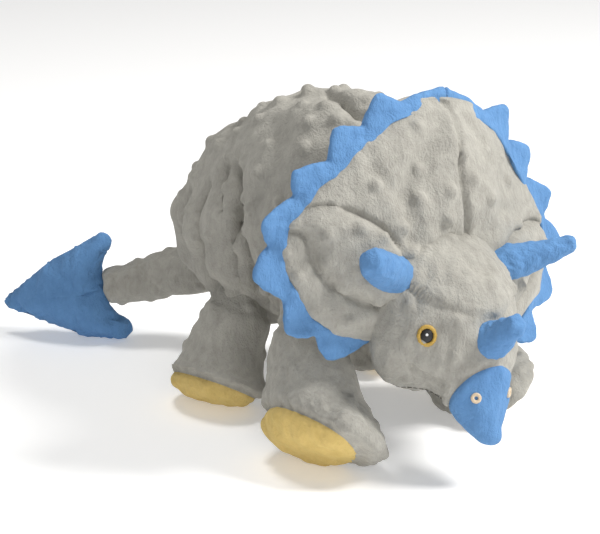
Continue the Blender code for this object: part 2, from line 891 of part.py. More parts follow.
def main():
    global object_collection, cutter_collection, whole
    clear_scene()
    object_collection = collection("stuffed_horned_dinosaur")
    cutter_collection = collection("cutters")
    whole = empty("dinosaur", STAND)

    neck = empty("neck_joint", NECK, whole)
    head = empty("head_frame", Vector(), neck)
    head.rotation_euler = (-radians(HEAD_ROLL), 0.0, 0.0)
    frill = empty("frill_frame", Vector(), neck)
    frill.rotation_euler = (-radians(FRILL_ROLL), 0.0, 0.0)
    tail = empty("tail_joint", TAIL_ROOT, whole)
    blade = empty("blade_joint", BLADE_ROOT, whole)

    room = {"neck": ball_mesh("neck_room", NECK, NECK_RADIUS + 1.5)}
    legs = {
        "front_left": FRONT_LEFT_LEG,
        "front_right": right_leg(FRONT_RIGHT_LEG),
        "rear_left": REAR_LEG,
        "rear_right": right_leg(REAR_LEG),
    }
    sockets = [cutter("neck_socket", room["neck"], whole)]
    sockets.append(cutter("tail_socket", ball_mesh("tail_socket", TAIL_ROOT, TAIL_RADIUS * 1.15), whole))
    for name, leg in legs.items():
        mesh = ball_mesh(name + "_socket", leg["hip"], HIP_RADIUS * HIP_SOCKET)
        sockets.append(cutter(name + "_socket", mesh, whole))

    make_torso(sockets)
    make_squeaker()
    make_neck(neck)
    for name, leg in legs.items():
        make_leg(name, leg)
    make_tail(tail)
    make_blade(blade)

    head_sockets = [cutter("nape_socket", ball_mesh("nape_socket", Vector(), NECK_RADIUS + 1.5), head)]
    frill_rooms = []
    horns = {
        "brow_horn_left": (BROW_HORN_ROOT, BROW_HORN_TIP, BROW_HORN_RADIUS),
        "brow_horn_right": (mirrored(BROW_HORN_ROOT), mirrored(BROW_HORN_TIP), BROW_HORN_RADIUS),
        "nose_horn": (NOSE_HORN_ROOT, NOSE_HORN_TIP, NOSE_HORN_RADIUS),
    }
    for name, (root, tip, radius) in horns.items():
        make_horn(name, root, tip, radius, head)
        mesh = ball_mesh(name + "_socket", root, radius * HORN_SOCKET)
        head_sockets.append(cutter(name + "_socket", mesh, head))
        if name != "nose_horn":
            mesh = ball_mesh(name + "_frill_room", root, radius * FRILL_HORN_ROOM)
            frill_rooms.append(cutter(name + "_frill_room", mesh, head))
    clear = make_head(head, head_sockets)
    make_face_details(head, clear)
    frill_room = cutter("frill_neck_room", ball_mesh("frill_neck_room", Vector(), NECK_RADIUS + 2.0), frill)
    make_frill(frill, (clear, frill_room, *frill_rooms))


main()
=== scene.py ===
"""The looks of a stuffed horned dinosaur: grey dotted plush, blue horns, beak, frill trim and tail blade.

Each piece is made in its own frame in millimetres, shaped there, and then placed in the row frame in metres.
+X is forward, +Y is the dinosaur's left and +Z is up.
"""

from math import cos, pi, radians, sin, sqrt

import bmesh
import bpy
import numpy as np
from mathutils import Matrix, Vector


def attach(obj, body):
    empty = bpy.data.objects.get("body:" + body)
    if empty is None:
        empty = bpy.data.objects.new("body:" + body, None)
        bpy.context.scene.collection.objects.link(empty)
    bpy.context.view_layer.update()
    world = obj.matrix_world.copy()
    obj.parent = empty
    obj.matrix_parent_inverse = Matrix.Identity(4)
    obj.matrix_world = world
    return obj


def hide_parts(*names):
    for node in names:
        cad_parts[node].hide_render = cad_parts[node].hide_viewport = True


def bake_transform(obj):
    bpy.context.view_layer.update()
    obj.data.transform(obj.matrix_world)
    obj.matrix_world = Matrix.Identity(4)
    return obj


MM = 0.001

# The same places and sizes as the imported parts
STAND = np.array((112.2, 0.7, 0.0))
NECK = np.array((0.0, 0.0, 118.0))
HEAD_ROLL = 6.5
FRILL_ROLL = 13.0
TORSO_SEAM_HEIGHT = 72.0

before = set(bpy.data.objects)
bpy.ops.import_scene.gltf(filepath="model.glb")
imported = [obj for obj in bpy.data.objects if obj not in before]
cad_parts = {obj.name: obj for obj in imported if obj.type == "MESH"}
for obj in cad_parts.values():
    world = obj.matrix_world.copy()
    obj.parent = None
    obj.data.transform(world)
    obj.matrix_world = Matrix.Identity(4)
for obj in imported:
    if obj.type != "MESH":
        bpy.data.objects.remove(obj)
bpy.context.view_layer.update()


# --- small geometry helpers --------------------------------------------------


def unit(vector):
    vector = np.asarray(vector, float)
    return vector / np.linalg.norm(vector)


def rolled(degrees, offset):
    """A frame turned about the X axis: its 3 by 3 turn and its place."""
    turn = np.array(Matrix.Rotation(-radians(degrees), 3, "X"))
    return turn, np.asarray(offset, float)


STRAIGHT = (np.eye(3), STAND)
HEAD = rolled(HEAD_ROLL, STAND + NECK)
FRILL = rolled(FRILL_ROLL, STAND + NECK)


def placed_at(offset):
    return np.eye(3), STAND + np.asarray(offset, float)


def placed(points, where):
    turn, offset = where
    return np.asarray(points) @ turn.T + offset


def spline(points, count):
    """count points along a smooth curve through the given points."""
    points = np.asarray(points, float)
    spans = len(points) - 1
    made = []
    for t in np.linspace(0.0, spans, count):
        n = min(int(t), spans - 1)
        s = t - n
        a, b = points[max(n - 1, 0)], points[n]
        c, d = points[n + 1], points[min(n + 2, spans)]
        made.append(
            0.5 * (2 * b + (c - a) * s + (2 * a - 5 * b + 4 * c - d) * s**2 + (3 * b - a - 3 * c + d) * s**3)
        )
    return np.array(made)


def away_from(points, path):
    """The distance of each point from a path."""
    best = np.full(len(points), np.inf)
    for a, b in zip(path, path[1:]):
        edge = b - a
        share = np.clip(((points - a) @ edge) / max(edge @ edge, 1e-9), 0.0, 1.0)
        gap = np.linalg.norm(points - a - share[:, None] * edge, axis=1)
        best = np.minimum(best, gap)
    return best


def hump(distance, width):
    return np.exp(-((distance / width) ** 2))


def smooth(low, high, value):
    t = np.clip((value - low) / (high - low), 0.0, 1.0)
    return t * t * (3.0 - 2.0 * t)


# How many waves make an uneven field, and what their sum is divided by
RIPPLE_WAVES = 14
RIPPLE_SUM = 5.0


def ripples(points, length, seed, stretch=(1.0, 1.0, 1.0)):
    """A smooth uneven field between about -1 and 1, with lumps of the given length."""
    random = np.random.RandomState(seed)
    total = np.zeros(len(points))
    scaled = points / np.asarray(stretch)
    for _ in range(RIPPLE_WAVES):
        way = unit(random.normal(size=3)) * 2.0 * pi / (length * random.uniform(0.7, 1.6))
        total += np.sin(scaled @ way + random.uniform(0.0, 2.0 * pi))
    return total / RIPPLE_SUM


# --- forms: arrays of points and faces that are shaped before they become pieces ---

# Points along a crease, and in one cage ring
PATH_STEPS = 24
SIDES = 12


class Form:
    """Points and faces in a piece's own frame, in millimetres."""

    def __init__(self, points, faces):
        self.points = np.asarray(points, float)
        self.faces = [tuple(face) for face in faces]

    def normals(self):
        """The outward direction at each point."""
        mesh = bpy.data.meshes.new("normals")
        mesh.from_pydata(self.points, [], self.faces)
        found = np.zeros(len(self.points) * 3)
        mesh.vertices.foreach_get("normal", found)
        bpy.data.meshes.remove(mesh)
        return found.reshape(-1, 3)

    def push(self, amount):
        """Moves each point outwards by its own amount."""
        self.points = self.points + self.normals() * np.asarray(amount)[:, None]

    def groove(self, path, width, depth):
        """Presses a crease in along a path."""
        self.push(-depth * hump(away_from(self.points, spline(path, PATH_STEPS)), width))

    def roll(self, path, width, height, toward):
        """A step beside a crease: the fabric rises on the side of the given place."""
        line = spline(path, PATH_STEPS)
        gap = away_from(self.points, line)
        nearest = line[np.argmin(np.linalg.norm(self.points[:, None] - line[None], axis=2), axis=1)]
        side = np.sum((self.points - nearest) * unit(np.asarray(toward, float) - line.mean(axis=0)), axis=1)
        self.push(height * smooth(0.0, width * 0.5, side) * np.exp(-gap / width))

    def crumple(self, *layers):
        """Pushes the form by uneven fields, each given as height, length, seed and stretch."""
        for height, length, seed, *stretch in layers:
            self.push(height * ripples(self.points, length, seed, *stretch))

    def swell(self, middle, radius, height):
        """Raises a soft lobe about a place."""
        gap = np.linalg.norm(self.points - np.asarray(middle, float), axis=1)
        self.push(height * hump(gap, radius))


def in_scene(name, data):
    """A new object that shows the given data."""
    made = bpy.data.objects.new(name, data)
    bpy.context.scene.collection.objects.link(made)
    return made


def form_from(mesh):
    points = np.zeros(len(mesh.vertices) * 3)
    mesh.vertices.foreach_get("co", points)
    return Form(points.reshape(-1, 3), [tuple(face.vertices) for face in mesh.polygons])


def subdivided(mesh, levels):
    """A form made by smoothing a mesh, which is used up."""
    helper = in_scene("helper", mesh)
    modifier = helper.modifiers.new("soft", "SUBSURF")
    modifier.levels = levels
    modifier.render_levels = levels
    graph = bpy.context.evaluated_depsgraph_get()
    result = bpy.data.meshes.new_from_object(helper.evaluated_get(graph))
    form = form_from(result)
    bpy.data.objects.remove(helper)
    bpy.data.meshes.remove(mesh)
    bpy.data.meshes.remove(result)
    return form


def mesh_of(points, faces):
    mesh = bpy.data.meshes.new("form")
    mesh.from_pydata([tuple(point) for point in points], [], faces)
    shape = bmesh.new()
    shape.from_mesh(mesh)
    bmesh.ops.recalc_face_normals(shape, faces=shape.faces)
    shape.to_mesh(mesh)
    shape.free()
    return mesh


def ring(middle, axis, across, half_width, half_height, sides, sag=0.0):
    """An oval of cage points; sag widens its lower half."""
    swell = 1.0 / (2.0 / 3.0 + cos(2.0 * pi / sides) / 3.0)
    axis = unit(axis)
    across = np.asarray(across, float)
    wide = unit(across - axis * (across @ axis))
    high = np.cross(axis, wide)
    made = []
    for n in range(sides):
        turn = 2.0 * pi * (n + 0.5) / sides
        x, y = cos(turn), sin(turn)
        if high[2] * y < 0.0:
            x *= 1.0 + sag * abs(y)
        made.append(np.asarray(middle, float) + swell * (wide * half_width * x + high * half_height * y))
    return made


def lofted(rings, levels):
    """A smooth closed form through a row of cage rings."""
    sides = len(rings[0])
    points = [point for points in rings for point in points]
    faces = []
    for row in range(len(rings) - 1):
        for n in range(sides):
            m = (n + 1) % sides
            faces.append((row * sides + n, row * sides + m, (row + 1) * sides + m, (row + 1) * sides + n))
    faces.append(tuple(range(sides)))
    last = (len(rings) - 1) * sides
    faces.append(tuple(range(last, last + sides)))
    return subdivided(mesh_of(points, faces), levels)


# The cloth simulation runs with 100 mm as one unit
SIM_SCALE = 0.01
SIM_FRAMES = 18
# Light, soft fabric that its filling presses outwards
SIM_FABRIC = {
    "quality": 5,
    "mass": 0.3,
    "tension_stiffness": 15.0,
    "compression_stiffness": 15.0,
    "bending_stiffness": 0.3,
    "use_pressure": True,
    "uniform_pressure_force": 4.0,
    "vertex_group_mass": "held",
}
# How near a seam a point is held
HELD_WIDTH = 3.0


def puffed(form, held, slack, cap):
    """A form blown out by its filling between the places where its seams hold it, by cap at the most."""
    mesh = mesh_of(form.points * SIM_SCALE, form.faces)
    helper = in_scene("helper", mesh)
    group = helper.vertex_groups.new(name="held")
    group.add([int(n) for n in np.flatnonzero(held)], 1.0, "REPLACE")
    modifier = helper.modifiers.new("cloth", "CLOTH")
    for key, value in SIM_FABRIC.items():
        setattr(modifier.settings, key, value)
    modifier.settings.shrink_min = -slack
    modifier.settings.effector_weights.gravity = 0.0
    modifier.point_cache.frame_start = 1
    modifier.point_cache.frame_end = SIM_FRAMES
    scene = bpy.context.scene
    for n in range(1, SIM_FRAMES + 1):
        scene.frame_set(n)
    graph = bpy.context.evaluated_depsgraph_get()
    result = bpy.data.meshes.new_from_object(helper.evaluated_get(graph))
    blown = form_from(result)
    move = blown.points / SIM_SCALE - form.points
    length = np.linalg.norm(move, axis=1)
    share = np.minimum(1.0, cap / np.maximum(length, 1e-6))
    form.points = form.points + move * share[:, None]
    bpy.data.objects.remove(helper)
    bpy.data.meshes.remove(mesh)
    bpy.data.meshes.remove(result)
    scene.frame_set(1)
    return form


def refined(form, levels):
    return subdivided(mesh_of(form.points, form.faces), levels)


def root_rings(way, across, radius, sides, shares=(-0.85, -0.4, 0.0)):
    """The rings of a round root about a joint, from its inner end to its widest place."""
    rings = []
    for share in shares:
        bulge = radius * sqrt(1.0 - share * share)
        rings.append(ring(unit(way) * radius * share, way, across, bulge, bulge, sides))
    return rings


def cut_in_two(form, point, normal):
    """The part of a form on the near side of a plane and the part on its far side, each closed by a cap."""
    halves = []
    for side in (-1.0, 1.0):
        shape = bmesh.new()
        mesh = mesh_of(form.points, form.faces)
        shape.from_mesh(mesh)
        bmesh.ops.bisect_plane(
            shape,
            geom=[*shape.verts, *shape.edges, *shape.faces],
            plane_co=point,
            plane_no=np.asarray(normal, float) * side,
            clear_inner=True,
        )
        open_edges = [edge for edge in shape.edges if edge.is_boundary]
        bmesh.ops.triangle_fill(shape, use_beauty=True, edges=open_edges)
        bmesh.ops.recalc_face_normals(shape, faces=shape.faces)
        shape.to_mesh(mesh)
        shape.free()
        halves.append(form_from(mesh))
        bpy.data.meshes.remove(mesh)
    return halves


# --- materials ---------------------------------------------------------------


def node(tree, kind, **values):
    made = tree.nodes.new(kind)
    for key, value in values.items():
        setattr(made, key, value)
    return made


def set_inputs(made, **values):
    for key, value in values.items():
        made.inputs[key.replace("_", " ")].default_value = value


def socket(tree, way, kind, name, value=None):
    made = tree.interface.new_socket(name, in_out=way, socket_type="NodeSocket" + kind)
    if value is not None:
        made.default_value = value


def noise(tree, place, scale, **values):
    """A noise texture whose scale comes from another node."""
    made = node(tree, "ShaderNodeTexNoise")
    set_inputs(made, **values)
    tree.links.new(place, made.inputs["Vector"])
    tree.links.new(scale, made.inputs["Scale"])
    return made.outputs["Fac"]


def ranged(tree, source, **values):
    made = node(tree, "ShaderNodeMapRange")
    set_inputs(made, **values)
    tree.links.new(source, made.inputs["Value"])
    return made.outputs["Result"]


# Streaks of the pile: their scale against the fibres, their share of the tint, and their stretch along Z
STREAK_SCALE = 0.45
STREAK_SHARE = 0.45
STREAK_STRETCH = (1.0, 1.0, 0.4)


def plush_group():
    """Short brushed pile: uneven nap, streaky fibres and a soft bump."""
    tree = bpy.data.node_groups.new("plush_pile", "ShaderNodeTree")
    socket(tree, "INPUT", "Color", "Lit Colour")
    socket(tree, "INPUT", "Color", "Deep Colour")
    for name, value in (("Nap Scale", 55.0), ("Fibre Scale", 700.0), ("Bump Depth", 0.0009)):
        socket(tree, "INPUT", "Float", name, value)
    for kind, name in (("Color", "Colour"), ("Float", "Roughness"), ("Vector", "Normal")):
        socket(tree, "OUTPUT", kind, name)
    link = tree.links.new
    given = node(tree, "NodeGroupInput")
    out = node(tree, "NodeGroupOutput")
    place = node(tree, "ShaderNodeTexCoord")

    nap = noise(
        tree, place.outputs["Object"], given.outputs["Nap Scale"], Detail=3.0, Roughness=0.6, Distortion=1.2
    )

    lay = node(tree, "ShaderNodeMapping")
    lay.inputs["Scale"].default_value = STREAK_STRETCH
    link(place.outputs["Object"], lay.inputs["Vector"])
    scale_down = node(tree, "ShaderNodeMath", operation="MULTIPLY")
    scale_down.inputs[1].default_value = STREAK_SCALE
    link(given.outputs["Fibre Scale"], scale_down.inputs[0])
    streak = noise(
        tree, lay.outputs["Vector"], scale_down.outputs[0], Detail=2.0, Roughness=0.7, Distortion=0.6
    )
    fibre = noise(tree, place.outputs["Object"], given.outputs["Fibre Scale"], Detail=2.0, Roughness=0.8)

    share = node(tree, "ShaderNodeMix", data_type="FLOAT")
    share.inputs[0].default_value = STREAK_SHARE
    link(ranged(tree, nap, From_Min=0.3, From_Max=0.7), share.inputs[2])
    link(ranged(tree, streak, From_Min=0.3, From_Max=0.7), share.inputs[3])
    tint = node(tree, "ShaderNodeMix", data_type="RGBA")
    link(share.outputs[0], tint.inputs[0])
    link(given.outputs["Deep Colour"], tint.inputs[6])
    link(given.outputs["Lit Colour"], tint.inputs[7])
    link(tint.outputs[2], out.inputs["Colour"])

    link(ranged(tree, streak, To_Min=0.82, To_Max=1.0), out.inputs["Roughness"])

    height = node(tree, "ShaderNodeMath", operation="ADD")
    link(streak, height.inputs[0])
    link(fibre, height.inputs[1])
    bump = node(tree, "ShaderNodeBump")
    set_inputs(bump, Strength=0.9)
    link(given.outputs["Bump Depth"], bump.inputs["Distance"])
    link(height.outputs[0], bump.inputs["Height"])
    link(bump.outputs["Normal"], out.inputs["Normal"])
    return tree


def plush(name, lit, deep, sheen, group, **values):
    made = bpy.data.materials.new(name)
    made.use_nodes = True
    tree = made.node_tree
    shader = tree.nodes["Principled BSDF"]
    pile = node(tree, "ShaderNodeGroup", node_tree=group)
    pile.inputs["Lit Colour"].default_value = (*lit, 1.0)
    pile.inputs["Deep Colour"].default_value = (*deep, 1.0)
    set_inputs(pile, **values)
    tree.links.new(pile.outputs["Colour"], shader.inputs["Base Color"])
    tree.links.new(pile.outputs["Roughness"], shader.inputs["Roughness"])
    tree.links.new(pile.outputs["Normal"], shader.inputs["Normal"])
    shader.inputs["Specular IOR Level"].default_value = 0.15
    shader.inputs["Sheen Weight"].default_value = sheen
    shader.inputs["Sheen Roughness"].default_value = 0.45
    shader.inputs["Sheen Tint"].default_value = (*[min(1.0, c * 1.5 + 0.2) for c in lit], 1.0)
    return made


def thread(name, colour):
    """Satin embroidery thread, with fine parallel strands."""
    made = bpy.data.materials.new(name)
    made.use_nodes = True
    tree = made.node_tree
    shader = tree.nodes["Principled BSDF"]
    place = node(tree, "ShaderNodeTexCoord")
    strands = node(tree, "ShaderNodeTexNoise")
    set_inputs(strands, Scale=1800.0, Detail=1.0)
    tree.links.new(place.outputs["Object"], strands.inputs["Vector"])
    tint = node(tree, "ShaderNodeMix", data_type="RGBA")
    tint.inputs[6].default_value = (*[c * 0.6 for c in colour], 1.0)
    tint.inputs[7].default_value = (*[min(1.0, c * 1.35) for c in colour], 1.0)
    tree.links.new(strands.outputs["Fac"], tint.inputs[0])
    tree.links.new(tint.outputs[2], shader.inputs["Base Color"])
    bump = node(tree, "ShaderNodeBump")
    set_inputs(bump, Strength=0.6, Distance=0.0003)
    tree.links.new(strands.outputs["Fac"], bump.inputs["Height"])
    tree.links.new(bump.outputs["Normal"], shader.inputs["Normal"])
    shader.inputs["Roughness"].default_value = 0.42
    return made


pile_group = plush_group()
GREY = plush("grey_plush_pile", (0.43, 0.417, 0.375), (0.29, 0.279, 0.25), 0.3, pile_group)
BLUE = plush("blue_plush_pile", (0.135, 0.29, 0.54), (0.10, 0.225, 0.44), 0.2, pile_group)
YELLOW = plush("yellow_plush_pile", (0.70, 0.52, 0.20), (0.58, 0.42, 0.14), 0.2, pile_group)
FIBRE = plush("polyester_fibre", (0.9, 0.9, 0.88), (0.75, 0.75, 0.73), 0.2, pile_group, Fibre_Scale=300.0)
GOLD = thread("gold_thread", (0.46, 0.29, 0.05))
BLACK = thread("black_thread", (0.012, 0.011, 0.010))
WHITE = thread("white_thread", (0.8, 0.8, 0.78))
TAN = thread("tan_thread", (0.66, 0.52, 0.36))
# Near-black thread for the jaw seam stitches: its dark colour is painted shade for the dark line in the jaw
# crease
SEAM_SHADE_THREAD = thread("seam_shade_thread", (0.12, 0.115, 0.10))
VINYL = plush("squeaker_vinyl", (0.82, 0.80, 0.72), (0.72, 0.70, 0.62), 0.0, pile_group, Bump_Depth=0.0001)


# --- pieces ------------------------------------------------------------------


def piece(name, form, where, look):
    """A finished mesh object in the row frame."""
    mesh = bpy.data.meshes.new(name)
    points = placed(form.points, where) * MM
    mesh.from_pydata([tuple(point) for point in points], [], form.faces)
    shape = bmesh.new()
    shape.from_mesh(mesh)
    bmesh.ops.remove_doubles(shape, verts=shape.verts, dist=0.000001)
    bmesh.ops.recalc_face_normals(shape, faces=shape.faces)
    shape.to_mesh(mesh)
    shape.free()
    mesh.shade_smooth()
    mesh.materials.append(look)
    return in_scene(name, mesh)


def run_nodes(made, tree, values):
    """Runs a Geometry Nodes tree on a piece and keeps the result as its plain mesh."""
    modifier = made.modifiers.new(tree.name, "NODES")
    modifier.node_group = tree
    for item in tree.interface.items_tree:
        if item.item_type == "SOCKET" and item.in_out == "INPUT" and item.name in values:
            modifier[item.identifier] = values[item.name]
    graph = bpy.context.evaluated_depsgraph_get()
    graph.update()
    result = bpy.data.meshes.new_from_object(made.evaluated_get(graph))
    made.modifiers.remove(modifier)
    old = made.data
    made.data = result
    result.name = old.name
    result.shade_smooth()
    bpy.data.meshes.remove(old)


# The attribute that says how tall the dots are at a place, from 0 to 1
DOT_ROOM = "dot_room"


def hand_over(tree, last, given, out):
    """Ends a tree: its geometry is made real, gets its material and goes out."""
    link = tree.links.new
    real = node(tree, "GeometryNodeRealizeInstances")
    link(last.outputs[0], real.inputs[0])
    paint = node(tree, "GeometryNodeSetMaterial")
    link(real.outputs[0], paint.inputs["Geometry"])
    link(given.outputs["Material"], paint.inputs["Material"])
    link(paint.outputs[0], out.inputs[0])


def raised_dots_tree():
    """Round dots pressed up from the fabric, spread evenly over it."""
    tree = bpy.data.node_groups.new("raised_dots", "GeometryNodeTree")
    socket(tree, "INPUT", "Geometry", "Fabric")
    for name, value in (("Spacing", 0.019), ("Dot Radius", 0.0042), ("Dot Height", 0.0016)):
        socket(tree, "INPUT", "Float", name, value)
    socket(tree, "INPUT", "Int", "Seed", 3)
    socket(tree, "INPUT", "Material", "Material")
    socket(tree, "OUTPUT", "Geometry", "Fabric")
    link = tree.links.new
    given = node(tree, "NodeGroupInput")
    out = node(tree, "NodeGroupOutput")
    spread = node(tree, "GeometryNodeDistributePointsOnFaces", distribute_method="POISSON")
    spread.inputs["Density Max"].default_value = 6000.0
    link(given.outputs["Fabric"], spread.inputs["Mesh"])
    link(given.outputs["Spacing"], spread.inputs["Distance Min"])
    link(given.outputs["Seed"], spread.inputs["Seed"])
    near = node(tree, "GeometryNodeProximity", target_element="POINTS")
    link(spread.outputs["Points"], near.inputs[0])
    fade = node(tree, "ShaderNodeMapRange", interpolation_type="SMOOTHERSTEP")
    set_inputs(fade, From_Min=0.0)
    link(near.outputs["Distance"], fade.inputs["Value"])
    link(given.outputs["Dot Radius"], fade.inputs["From Max"])
    link(given.outputs["Dot Height"], fade.inputs["To Min"])
    fade.inputs["To Max"].default_value = 0.0
    room = node(tree, "GeometryNodeInputNamedAttribute", data_type="FLOAT")
    room.inputs["Name"].default_value = DOT_ROOM
    share = node(tree, "ShaderNodeMath", operation="MULTIPLY")
    link(fade.outputs["Result"], share.inputs[0])
    link(room.outputs["Attribute"], share.inputs[1])
    normal = node(tree, "GeometryNodeInputNormal")
    lift = node(tree, "ShaderNodeVectorMath", operation="SCALE")
    link(normal.outputs[0], lift.inputs[0])
    link(share.outputs[0], lift.inputs["Scale"])
    move = node(tree, "GeometryNodeSetPosition")
    link(given.outputs["Fabric"], move.inputs["Geometry"])
    link(lift.outputs[0], move.inputs["Offset"])
    hand_over(tree, move, given, out)
    return tree


def stitch_tree():
    """A row of short thread stitches along a path."""
    tree = bpy.data.node_groups.new("seam_stitches", "GeometryNodeTree")
    socket(tree, "INPUT", "Geometry", "Path")
    for name, value in (("Stitch Spacing", 0.0034), ("Stitch Length", 0.0024), ("Thread Radius", 0.00032)):
        socket(tree, "INPUT", "Float", name, value)
    socket(tree, "INPUT", "Material", "Material")
    socket(tree, "OUTPUT", "Geometry", "Stitches")
    link = tree.links.new
    given = node(tree, "NodeGroupInput")
    out = node(tree, "NodeGroupOutput")
    curve = node(tree, "GeometryNodeMeshToCurve")
    link(given.outputs["Path"], curve.inputs["Mesh"])
    points = node(tree, "GeometryNodeCurveToPoints", mode="LENGTH")
    link(curve.outputs[0], points.inputs["Curve"])
    link(given.outputs["Stitch Spacing"], points.inputs["Length"])
    strand = node(tree, "GeometryNodeMeshCylinder")
    strand.inputs["Vertices"].default_value = 6
    link(given.outputs["Thread Radius"], strand.inputs["Radius"])
    link(given.outputs["Stitch Length"], strand.inputs["Depth"])
    lay = node(tree, "FunctionNodeAlignEulerToVector", axis="Z")
    link(points.outputs["Tangent"], lay.inputs["Vector"])
    repeat = node(tree, "GeometryNodeInstanceOnPoints")
    link(points.outputs["Points"], repeat.inputs["Points"])
    link(strand.outputs["Mesh"], repeat.inputs["Instance"])
    link(lay.outputs[0], repeat.inputs["Rotation"])
    hand_over(tree, repeat, given, out)
    return tree


dots_tree = raised_dots_tree()
stitches_tree = stitch_tree()


def dotted(made, spacing, height, seed, radius, room=None):
    """Raises dots on a piece, but not near the ground or where it has no room for them."""
    places = np.zeros(len(made.data.vertices) * 3)
    made.data.vertices.foreach_get("co", places)
    above_ground = smooth(2.0 * MM, 9.0 * MM, places[2::3])
    given = made.data.attributes.new(DOT_ROOM, "FLOAT", "POINT")
    given.data.foreach_set("value", above_ground if room is None else above_ground * room)
    sizes = {"Spacing": spacing * MM, "Dot Radius": radius * MM, "Dot Height": height * MM}
    run_nodes(made, dots_tree, {**sizes, "Seed": seed, "Material": GREY})


def finish(made, nodes=(), body=None, bend=None):
    """Hides the CAD nodes that a piece replaces, and joins the piece to one body; given a bend, it only bakes
    the piece's place into its points.
    """
    if nodes:
        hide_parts(*nodes)
    if bend:
        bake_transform(made)
    else:
        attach(made, body)
    return made


# --- torso -------------------------------------------------------------------

TORSO_RINGS = (
    (-216.0, 15.0, 108.0, 74.0),
    (-205.0, 33.0, 134.0, 56.0),
    (-182.0, 46.0, 154.0, 44.0),
    (-145.0, 53.0, 180.0, 40.0),
    (-100.0, 55.0, 198.0, 44.0),
    (-58.0, 52.0, 197.0, 50.0),
    (-31.0, 42.0, 189.0, 62.0),
    (-13.0, 28.0, 163.0, 82.0),
)
# Each fold: its path on the right flank, its width and its depth. The left flank has a fold with the same
# path moved a little.
FLANK_FOLDS = (
    (((-116, -50, 148), (-109, -54, 134), (-100, -57, 118), (-95, -56, 98), (-99, -50, 70)), 6.0, 17.0),
    (((-106, -52, 124), (-110, -57, 108), (-108, -58, 90), (-106, -52, 70), (-106, -44, 52)), 3.4, 11.0),
    (((-144, -50, 132), (-147, -55, 110), (-141, -57, 88), (-132, -52, 66)), 3.8, 8.0),
    (((-168, -46, 122), (-173, -50, 102), (-167, -50, 82), (-160, -46, 64)), 4.2, 7.5),
    (((-194, -36, 128), (-203, -34, 108), (-204, -34, 92), (-196, -36, 72)), 7.0, 11.0),
    (((-72, -52, 126), (-69, -56, 102), (-74, -54, 78)), 4.6, 6.0),
    (((-132, -50, 150), (-128, -54, 136), (-120, -56, 124)), 4.0, 5.0),
)
FLANK_LOBES = (
    ((-127, -54, 116), 14.0, 8.0),
    ((-124, -54, 92), 12.0, 10.0),
    ((-120, -54, 68), 12.0, 9.0),
    ((-103, -54, 86), 7.0, 4.0),
    ((-156, -52, 104), 12.0, 6.0),
    ((-152, -50, 74), 13.0, 7.0),
    ((-184, -44, 104), 11.0, 7.0),
    ((-182, -42, 76), 11.0, 5.0),
    ((-203, -26, 72), 10.0, 5.0),
    ((-82, -54, 124), 17.0, 6.0),
    ((-84, -50, 152), 18.0, 4.0),
)
TORSO_ENDS = (-212.0, -22.0)
SPINE_SEAM = ((-208, 0, 130), (-182, 0, 154), (-145, 0, 181), (-100, 0, 199), (-58, 0, 198), (-31, 0, 190))
SHOULDER_CREASE = ((-95, 2, 202), (-85, -5, 200), (-68, -10, 198), (-54, -12, 196), (-40, -12, 191))
SHOULDER_LOBES = (
    ((-60, 4, 199), 13.0, 5.0),
    ((-40, 2, 193), 12.0, 4.0),
    ((-76, -24, 194), 13.0, 4.0),
)


def other_flank(points):
    """The same places on the left flank, a little further forward and lower."""
    return [(x + 9, -y, z - 4) for x, y, z in points]


def make_torso():
    """The round body: the flank folds, their lobes and the crease over the shoulders."""
    forward, side = (1.0, 0.0, 0.0), (0.0, 1.0, 0.0)
    rings = []
    for place, half_width, top, underside in TORSO_RINGS:
        middle = (place, 0.0, (top + underside) / 2.0)
        rings.append(ring(middle, forward, side, half_width, (top - underside) / 2.0, SIDES, sag=0.16))
    form = lofted(rings, 3)
    across, high, along = np.abs(form.points[:, 1]), form.points[:, 2], form.points[:, 0]
    sewn = (across < HELD_WIDTH) | (np.abs(high - TORSO_SEAM_HEIGHT) < HELD_WIDTH)
    ends = (along > TORSO_ENDS[1]) | (along < TORSO_ENDS[0])
    form = refined(puffed(form, sewn | ends, slack=0.04, cap=3.5), 2)
    for points, width, depth in FLANK_FOLDS:
        form.groove(points, width, depth)
        form.groove(other_flank(points), width * 1.1, depth * 0.8)
    for middle, radius, height in FLANK_LOBES:
        form.swell(middle, radius, height)
        form.swell(other_flank([middle])[0], radius, height * 0.8)
    form.groove(SPINE_SEAM, 2.2, 2.0)
    form.groove(SHOULDER_CREASE, 3.8, 9.0)
    for middle, radius, height in SHOULDER_LOBES:
        form.swell(middle, radius, height)
    points = form.points
    seam = hump(points[:, 2] - TORSO_SEAM_HEIGHT + 12.0, 2.4) * smooth(20.0, 35.0, np.abs(points[:, 1]))
    form.push(-1.4 * seam)
    form.crumple((1.9, 34.0, 5, (1.0, 1.0, 1.7)), (0.8, 13.0, 8, (1.0, 1.0, 1.5)))
    made = piece("torso_plush", form, STRAIGHT, GREY)
    dotted(made, spacing=15.0, height=2.9, seed=4, radius=6.8)
    nodes = ("back_panel_left", "back_panel_right", "belly_panel", "torso_filling")
    return finish(made, nodes, body="torso")


# The neck's rings: place along it, and radius
NECK_RINGS = ((-26, 14), (-19, 26), (-4, 29), (12, 25), (18, 12))


def make_neck():
    """A short stuffed neck that fills the space between the shoulders and the frill."""
    axis, side = (1.0, 0.0, 0.0), (0.0, 1.0, 0.0)
    rings = [ring((x, 0.0, 0.0), axis, side, radius, radius, SIDES) for x, radius in NECK_RINGS]
    form = lofted(rings, 4)
    form.crumple((1.0, 16.0, 21, (1.0, 0.7, 0.7)))
    made = piece("neck_plush", form, placed_at(NECK), GREY)
    return finish(made, ("neck_sleeve", "neck_filling"), body="neck")


# --- legs --------------------------------------------------------------------

HIP_RADIUS = 18.5
KNEE_RADIUS = 19.5
SEAM_ABOVE_SOLE = 2.0
FLOOR_GAP = 0.2
